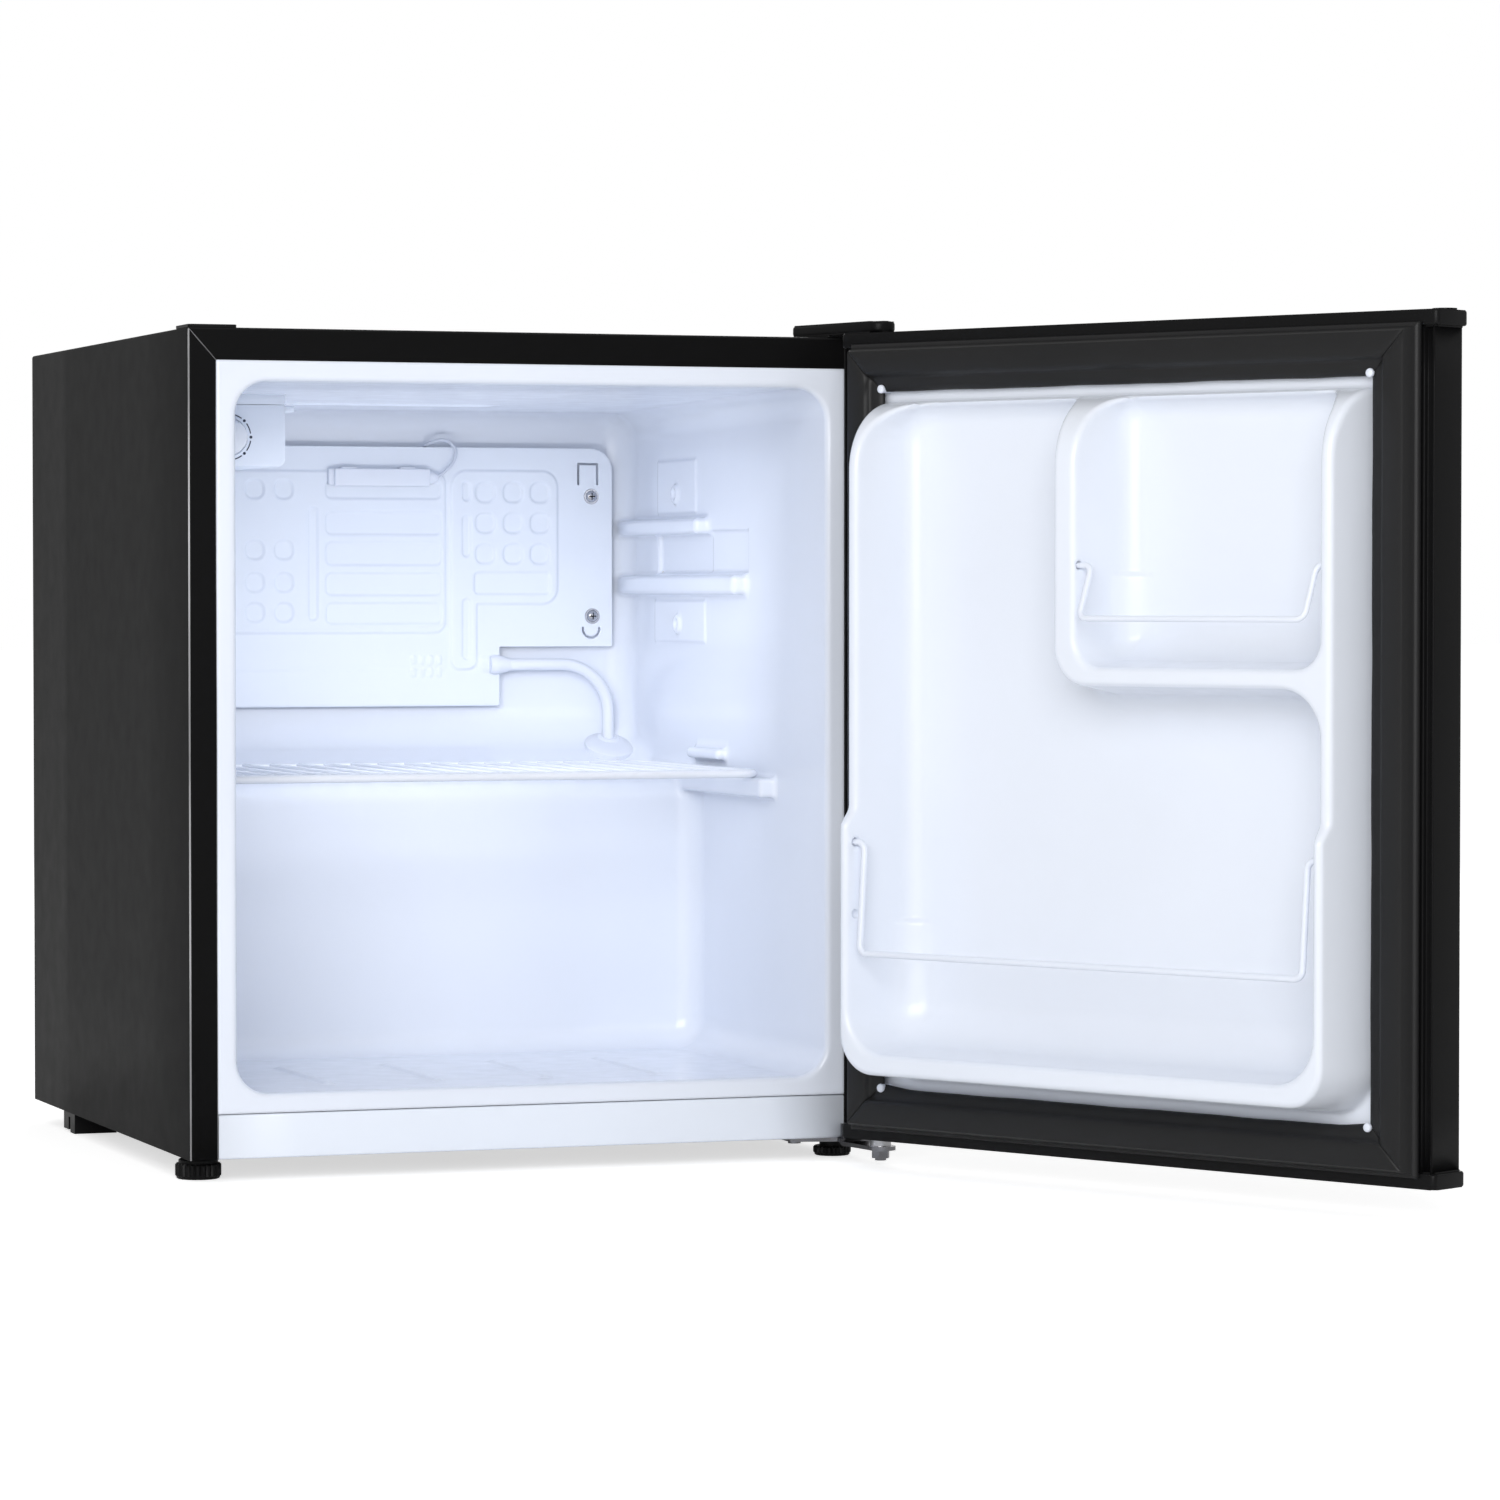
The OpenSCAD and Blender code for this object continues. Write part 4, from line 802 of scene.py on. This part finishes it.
DIAL_X, DIAL_Z = -149.0, 453.5
STAT_FRONT, STAT_REAR = -40.0, 72.0
face_outline = round_path([(-188, 435), (-112, 435), (-112, 474), (-188, 474)], [3, 5, 1.5, 1.5], True)
housing = joined(prism(face_outline, "y", STAT_FRONT, STAT_REAR, 0.7, 3),
                 prism(round_path([(-180, 474.3), (-112, 474.3), (-112, 482), (-180, 482)], 4 * [0.3], True),
                       "y", STAT_FRONT, STAT_REAR, 0.3, 2),
                 cuboid((-113.0, -40.0, 469.6), (-106.0, -26.0, 473.6), 0.8),
                 lathe([(0, 0.4), (13.4, 0.4), (13.4, -0.7), (12.9, -1.1), (12.3, -1.0), (12.0, -0.2),
                        (0, -0.1)], (DIAL_X, STAT_FRONT, DIAL_Z), "y", 64))
place(housing, "thermostat_housing_shell", "cabinet", M["stat"], ["thermostat_housing"])


def ring_mark(start, end, r0, r1):
    """Flat printed arc around the dial, angles clockwise from the top in degrees."""
    steps = max(2, int((end - start) / 4))
    angles = [math.radians(90 - (start + (end - start) * k / steps)) for k in range(steps + 1)]
    outline = [(DIAL_X + r1 * math.cos(a), DIAL_Z + r1 * math.sin(a)) for a in angles]
    outline += [(DIAL_X + r0 * math.cos(a), DIAL_Z + r0 * math.sin(a)) for a in reversed(angles)]
    return prism(outline, "y", -40.12, -39.9, 0)


marks = [ring_mark(a + 9, a + 36, 14.2, 14.9) for a in (-180, -135, -90, -45, 0, 45, 90, 135)]
for angle in range(-180, 180, 45):
    a = math.radians(90 - angle)
    marks.append(lathe([(0, -0.12), (0.95, -0.1), (0.95, 0.1), (0, 0.12)],
                       (DIAL_X + 14.6 * math.cos(a), STAT_FRONT, DIAL_Z + 14.6 * math.sin(a)), "y", 16))
place(joined(*marks), "thermostat_dial_marks", "cabinet", M["ink"])

knob = fluted([(0.4, -12.0, 0), (8.2, -12.0, 0), (9.4, -11.4, 0.4), (10.0, -10.2, 1), (10.8, -3.0, 1),
               (11.4, -1.6, 0.3), (11.4, -1.0, 0), (0.4, -1.0, 0)], (0, 0, 0), 30, 0.5, 180)
for v in knob.verts:
    v.co = Vector((DIAL_X + v.co.x, STAT_FRONT + v.co.z, DIAL_Z + v.co.y))
pointer = cuboid((DIAL_X - 0.9, -52.6, DIAL_Z - 1.5), (DIAL_X + 0.9, -51.6, DIAL_Z + 8.6), 0.4)
grip = cuboid((DIAL_X - 1.6, -52.3, DIAL_Z - 8.0), (DIAL_X + 1.6, -51.6, DIAL_Z + 8.0), 0.3)
place(joined(knob, grip), "thermostat_knob_cap", "thermostat_dial", M["knob"],
      ["thermostat_knob"])
place(pointer, "thermostat_knob_pointer", "thermostat_dial", M["ink"])

# ---------- shelf and door retainers ----------

SHELF_HALF, SHELF_Z, SHELF_GAPS = 181.3, 239, 19
shelf = [tube([(-SHELF_HALF, -112, SHELF_Z), (SHELF_HALF, -112, SHELF_Z), (SHELF_HALF, 106, SHELF_Z),
               (-SHELF_HALF, 106, SHELF_Z)], 2.6, 12, 20, True)]
pitch = (2 * SHELF_HALF - 10) / SHELF_GAPS
for i in range(1, SHELF_GAPS):
    x = i * pitch - SHELF_HALF + 5
    shelf.append(tube([(x, -112.6, 240.0), (x, -109, 240.6), (x, 103, 240.6), (x, 106.6, 240.0)],
                      1.45, 4, 12))
for y in (-39.3, 33.3):
    shelf.append(tube([(-181.6, y, 237.9), (181.6, y, 237.9)], 1.45, 0, 12))
place(joined(*shelf), "wire_shelf_rods", "shelf", M["wire"], ["wire_shelf"], sharp=60)


def retainer(x0, left, right, x1, top, low, y, out, r):
    """Bent wire whose bar stands out from the two ends held in the liner's holes."""
    return tube([(x0, y, top), (left, y, top), (left, y + out, low), (right, y + out, low),
                 (right, y, top), (x1, y, top)], r, 5.5, 18)


place(retainer(-176.0, -166.0, 166.0, 176.0, BIN_HOLES[1], 137.0, -185.0, 5.0, 2.0),
      "tall_retainer_rod", "door", M["bar"], ["tall_retainer"], SWING, sharp=60)
place(retainer(-176.0, -168.0, -5.5, 7.5, POCKET_HOLE, 340.0, -190.0, 12.0, 1.8),
      "small_retainer_rod", "door", M["bar"], ["small_retainer"], SWING, sharp=60)

# ---------- gasket ----------

SEAL = ((0.0, 0.0), (0.0, 1.5), (1.0, 2.9), (2.4, 3.3), (3.2, 5.2), (4.0, 9.6), (5.0, 11.2), (6.6, 11.7),
        (12.0, 11.5), (17.6, 11.7), (19.4, 11.0), (20.4, 9.2), (21.2, 8.2), (22.6, 7.9), (26.0, 7.4),
        (28.6, 6.6), (29.8, 5.2), (30.0, 4.4), (29.0, 4.2), (26.0, 5.6), (22.0, 6.2), (20.0, 4.0),
        (19.2, 0.0))


def seal_strip(start, end, side):
    """One mitred side of the seal, seen in the door's own x and z."""
    start, end = Vector(start), Vector(end)
    length = (end - start).length
    along = (end - start) / length
    inward = Vector((-along.y, along.x))
    shares = [0.0, 0.8 / length, 2.0 / length, *[k / 60 for k in range(1, 60)],
              1 - 2.0 / length, 1 - 0.8 / length, 1.0]
    rings = []
    for s in shares:
        near = min(s, 1 - s) * length
        sink = 0.9 if near < 0.01 else 0.25 if near < 1.0 else 0.0
        calm = min(1.0, near / 25)
        ring = []
        for u, h in SEAL:
            drift = calm * 0.16 * (math.sin(21 * s + side) + 0.6 * math.sin(47 * s + 2 * side))
            if u > 24:
                u += drift - (2.4 * calm if side == 0 else 0.0)
            if h > 7:
                h -= sink + 0.12 * calm * (1 + math.sin(33 * s + side))
            p = start + along * (u + s * (length - 2 * u)) + inward * u
            ring.append((p.x, LINER_Y + h, p.y))
        rings.append(ring)
    return rings


seal = bmesh.new()
corners = ((-213, 24), (213, 24), (213, 507.5), (-213, 507.5))
for side in range(4):
    strip = seal_strip(corners[side], corners[(side + 1) % 4], side)
    skin(seal, [[seal.verts.new(p) for p in ring] for ring in strip])
bmesh.ops.remove_doubles(seal, verts=seal.verts, dist=0.02)
place(seal, "door_gasket_seal", "door", M["rubber"], ["door_gasket"], SWING, sharp=40)
plugs = [lathe([(0, 9.6), (1.5, 9.4), (2.4, 8.8), (2.7, 7.8), (2.4, 7.0), (2.4, 0), (0, 0)],
               (x, LINER_Y, z), "y", 28) for x in (-183.2, 183.2) for z in (51.7, 479.2)]
place(joined(*plugs), "liner_corner_plug_heads", "door", M["white_part"],
      ["liner_corner_plugs"], SWING)

# ---------- door skin and caps ----------

half_skin = [(-208.5, -228.3), (-214.2, -228.3), (-215.2, -230.6), (-219.2, -230.6), (-219.9, -227.9),
             (-221.5, -227.9), (-221.5, -257.0)]
skin_path = half_skin + [(-x, y) for x, y in reversed(half_skin)]
skin_path = round_path(skin_path, [0, 0.8, 0.7, 0.7, 0.6, 0.7, 4.0, 4.0, 0.7, 0.6, 0.7, 0.7, 0.8, 0])
thicken(place(ribbon(skin_path, "z", [27.4, 60, 120, 180, 240, 300, 360, 420, 470, 505.1]), "door_skin_sheet",
              "door", M["door"], ["door_skin"], SWING, sharp=28), 0.6)


def cap_outline(grow):
    """Plan of a door cap, grown or shrunk all round."""
    w, y0, y1 = 223.5 + grow, -259.0 - grow, -227.5 + grow
    return round_path([(-w, y0), (w, y0), (w, y1), (-w, y1)], [4.5, 4.5, 3.0, 3.0], True)


for name, z0, z1, neck_z0, neck_z1 in (("door_top_cap", 505.6, 514.5, 504.6, 506.5),
                                       ("door_bottom_cap", 18.0, 26.9, 26.0, 27.9)):
    cap = joined(prism(cap_outline(0), "z", z0, z1, 1.3, 3),
                 prism(cap_outline(-1.6), "z", neck_z0, neck_z1, 0.2, 1))
    place(cap, name + "_moulded", "door", M["black"], [name], SWING)

# ---------- cabinet sheet ----------


SIDE_FLANGE, TOP_FLANGE, CORNER_R, MITRE_GAP = 18.0, 20.0, 1.8, 0.9


def cabinet_shell():
    """Folded outer sheet: sides and top, with front flanges mitred at the upper corners."""
    section = [(0, 0.0, REAR_Y), (0, 0.0, 110.0), (0, 0.0, 0.0), (0, 0.0, -110.0), (0, 0.0, -213.4),
               (0, 0.35, -214.5), (0, 1.3, FRONT_Y), (0.35, 0.0, FRONT_Y), (0.7, 0.0, FRONT_Y),
               (1, -0.7, FRONT_Y), (1, -0.1, -214.7), (1, 0.0, -214.2)]
    stations = [(z, 0, None) for z in (BOTTOM_Z, 100.0, 200.0, 300.0, 400.0, 480.0)]
    stations += [(None, a, s) for a, s in ((0, 1.0), (22.5, 0.5), (45, 0.0), (67.5, -0.5), (90, -1.0))]
    shape = bmesh.new()
    rows = []
    for z, angle, seam in stations:
        row = []
        for share, extra, y in section:
            side, top = share * SIDE_FLANGE + extra, share * TOP_FLANGE + extra
            r = max(CORNER_R - max(side, top), 0.0)
            if z is not None:
                row.append((-HALF_WIDTH + side, y, z))
                continue
            a = math.radians(angle)
            slide = MITRE_GAP * seam if share > 0 else 0.0
            sink = 0.5 if share > 0 and seam == 0 and y < -214.6 else 0.0
            row.append((-HALF_WIDTH + side + r * (1 - math.cos(a)) + max(-slide, 0), y + sink,
                        TOP_Z - top - r * (1 - math.sin(a)) - max(slide, 0)))
        rows.append(row)
    for x in (-150.0, -75.0, 0.0):
        rows.append([(x, y, TOP_Z - share * TOP_FLANGE - extra) for share, extra, y in section])
    rows += [[(-x, y, z) for x, y, z in row] for row in rows[-2::-1]]
    rings = [[shape.verts.new(p) for p in row] for row in rows]
    for low, high in zip(rings, rings[1:]):
        for i in range(len(section) - 1):
            if max((a.co - b.co).length for a, b in zip(low[i:i + 2], high[i:i + 2])) >= 1e-4:
                shape.faces.new((low[i], low[i + 1], high[i + 1], high[i]))
    bmesh.ops.remove_doubles(shape, verts=shape.verts, dist=0.001)
    return shape


wrap = place(cabinet_shell(), "cabinet_wrap_sheet", "cabinet", M["side"], ["cabinet_wrap"],
             sharp=24)
# The front faces of the flanges take the darker copy of the paint, painted shade; the faces of the side folds
# take the pale one, a painted highlight along the bend.
wrap.data.materials.append(M["flange"])
wrap.data.materials.append(M["fold"])
for polygon in wrap.data.polygons:
    if polygon.center.y < -0.21:
        facing_front = abs(polygon.normal.y)
        side_fold_highlight = facing_front > 0.35 and abs(polygon.normal.x) > 0.3
        polygon.material_index = 1 if facing_front > 0.93 else 2 if side_fold_highlight else 0
thicken(wrap, 0.6)
bottom_folds = mirrored(cuboid((-218.8, -213.6, 14.0), (-193.0, 214.6, 14.7), 0.2, 1))
place(bottom_folds, "cabinet_wrap_bottom_folds", "cabinet", M["side"])

PANEL_HALF, PANEL_Z0, PANEL_Z1 = 218.0, 188.4, 513.0
COLUMNS, ROWS = 57, 43
grid = []
for i in range(COLUMNS):
    for k in range(ROWS):
        x = -PANEL_HALF + 2 * PANEL_HALF * i / (COLUMNS - 1)
        z = PANEL_Z0 + (PANEL_Z1 - PANEL_Z0) * k / (ROWS - 1)
        edge = min(PANEL_HALF - abs(x), z - PANEL_Z0, PANEL_Z1 - z)
        bead = math.exp(-((edge - 13.0) / 4.0) ** 2)
        grid.append((x, 214.95 - 0.5 * bead, z))
quads = [(i * ROWS + k, i * ROWS + k + 1, (i + 1) * ROWS + k + 1, (i + 1) * ROWS + k)
         for i in range(COLUMNS - 1) for k in range(ROWS - 1)]
thicken(place((grid, quads), "back_panel_sheet", "cabinet", M["side"], ["back_panel"]), 0.6)

beam_path = round_path([(-203.2, BOTTOM_Z), (FRONT_Y, BOTTOM_Z), (FRONT_Y, 41.0), (-203.2, 41.0)], 1.6)
thicken(place(ribbon(beam_path, "x", [-200.8, -150, -75, 0, 75, 150, 200.8]), "front_beam_channel", "cabinet",
              M["beam"], ["front_beam"], sharp=50), 1.2)

# ---------- hinges, feet and small parts ----------

hood = round_path([(178.5, -175), (203.5, -261.5), (218.5, -261.5), (218.5, -175)], [5, 7, 6, 5], True)
hood_rear = round_path([(179.2, -176), (190.4, -214.6), (217.6, -214.6), (217.6, -176)], [4, 1, 1, 4], True)
place(joined(prism(hood, "z", 515.3, 522.5, 2.2, 4), prism(hood_rear, "z", 514.0, 516.5, 0.2, 1)),
      "top_hinge_hood", "cabinet", M["black"], ["top_hinge_cover"])

FOOT_X, FOOT_Y = 205.5, -182.0
for name, x, grip_r, grip_h, neck_r, neck_z in (("left_foot", -FOOT_X, 14.0, 9.5, 12.0, 12.0),
                                                ("right_foot", FOOT_X, 12.0, 6.0, 8.0, 11.0)):
    grip = fluted([(0.5, 0.0, 0), (grip_r - 1.6, 0.0, 0), (grip_r - 0.9, 0.5, 0), (grip_r - 0.8, 1.4, 0),
                   (grip_r - 0.1, 1.9, 0.6), (grip_r, 2.4, 1), (grip_r, grip_h - 0.9, 1),
                   (grip_r - 0.8, grip_h, 0.4), (0.5, grip_h, 0)], (x, FOOT_Y, 0), 24, 1.0)
    neck = lathe([(0, grip_h - 0.5), (neck_r, grip_h - 0.5), (neck_r, neck_z - 0.6), (neck_r - 0.6, neck_z),
                  (0, neck_z)], (x, FOOT_Y, 0), "z", 48)
    thread = [(0, neck_z - 0.5)]
    z = neck_z - 0.4
    while z < 36.6:
        thread += [(3.5, z), (3.95, z + 0.5)]
        z += 1.25
    stud = lathe(thread + [(3.2, 37.4), (2.4, 38.2), (0, 38.2)], (x, FOOT_Y, 0), "z", 28)
    place(joined(grip, neck, stud), name + "_knurled", name, M["black"],
          ["front_" + name], sharp=30)

pot = lathe([(0, 32.0), (32, 32.3), (42, 35.0), (51, 42.5), (56.6, 52), (57.8, 60), (57.8, 92), (58.7, 93.2),
             (58.7, 97.4), (57.6, 98.6), (57.6, 138), (56.2, 146), (51, 154.5), (42, 161.6), (32, 164.7),
             (14, 165.0), (0, 165.0)], (-45, 132, 0), "z", 72)
plate = prism(round_path([(-119, 82), (29, 82), (29, 182), (-119, 182)], 12, True), "z", 30.0, 33.0, 0.8)
stubs = [lathe([(0, 0), (13, 0), (13, 24), (11.8, 25), (0, 25)], (-6, 120, 102), "x", 36),
         lathe([(0, 0), (4.0, 0), (4.0, 18.5), (3.4, 20), (0, 20)], (-5, 157, 124), "x", 24),
         lathe([(0, 0), (3.2, 0), (3.2, 21.5), (0, 22)], (-107, 142, 116), "x", 24)]
place(joined(pot, plate, *stubs), "compressor_pot", "cabinet", M["enamel"], ["compressor"])

zigzag = []
for i in range(10):
    ends = (-180.0, 180.0) if i % 2 == 0 else (180.0, -180.0)
    zigzag += [(e, 211.9, 220.0 + 28.0 * i) for e in ends]
zigzag = [(-180.0, 211.9, 170.0)] + zigzag[:-1] + [(-203.0, 211.9, 472.0), (-203.0, 211.9, 185.0),
                                                  (-203.0, 194.9, 185.0), (-203.0, 194.9, 162.0)]
zigzag = [p for i, p in enumerate(zigzag) if i == 0 or p != zigzag[i - 1]]
place(tube(zigzag, 2.4, 8.0, 14, step=15.0), "condenser_coil", "cabinet", M["black_steel"],
      ["condenser"], sharp=60)

# ---------- CAD nodes kept as they are ----------

for node, key, edge in (
        ("machine_bay_panel", "zinc", 0), ("bottom_panel", "zinc", 0),
        ("compressor_base_plate", "black_steel", 0.3), ("rear_feet", "black", 0.8),
        ("foot_inserts", "zinc", 0), ("hinge_backing_plates", "zinc", 0.3),
        ("top_hinge_bracket", "black_steel", 0.4), ("top_hinge_pin", "bright", 0.5),
        ("top_hinge_screws", "bright", 0), ("spare_hinge_cap", "black", 0.5),
        ("bottom_hinge_bracket", "zinc", 0.4), ("bottom_hinge_pin", "zinc", 0.5),
        ("bottom_hinge_nut", "zinc", 0.5), ("bottom_hinge_collar", "bright", 0.5),
        ("bottom_hinge_screws", "zinc", 0), ("compressor_grommets", "rubber", 0),
        ("compressor_studs", "zinc", 0), ("start_relay", "black", 0.8), ("terminal_cover", "black", 1.2),
        ("filter_dryer", "copper", 0), ("suction_line", "copper", 0), ("discharge_line", "black_steel", 0),
        ("evaporation_pan", "white_part", 1.0), ("drain_tube", "soft", 0), ("cord_gland", "black", 0.5),
        ("evaporator_spacers", "white_part", 0), ("thermostat_control", "zinc", 0.5),
        ("thermostat_shaft", "bright", 0), ("gasket_magnets", "magnet", 0),
        ("hinge_bushes", "white_part", 0.3), ("hinge_hole_plugs", "black", 0.3)):
    carry(node, M[key], edge)

# ---------- floor ----------

floor_mesh = bpy.data.meshes.new("floor")
floor_mesh.from_pydata([(-30, -30, 0), (30, -30, 0), (30, 30, 0), (-30, 30, 0)], [], [(0, 1, 2, 3)])
paper = finish("floor_paper", (0.85, 0.85, 0.85), 0.9, specular=0.1, tone=0.0)
paper_nodes, paper_links = paper.node_tree.nodes, paper.node_tree.links
paper_nodes["Principled BSDF"].inputs["Emission Color"].default_value = WHITE
seen = paper_nodes.new("ShaderNodeLightPath")
glow = paper_nodes.new("ShaderNodeMapRange")
glow.inputs["To Min"].default_value = 0.1
glow.inputs["To Max"].default_value = 0.62
paper_links.new(seen.outputs["Is Camera Ray"], glow.inputs["Value"])
paper_links.new(glow.outputs["Result"], paper_nodes["Principled BSDF"].inputs["Emission Strength"])
floor_mesh.materials.append(paper)
floor = add_object("floor", floor_mesh)
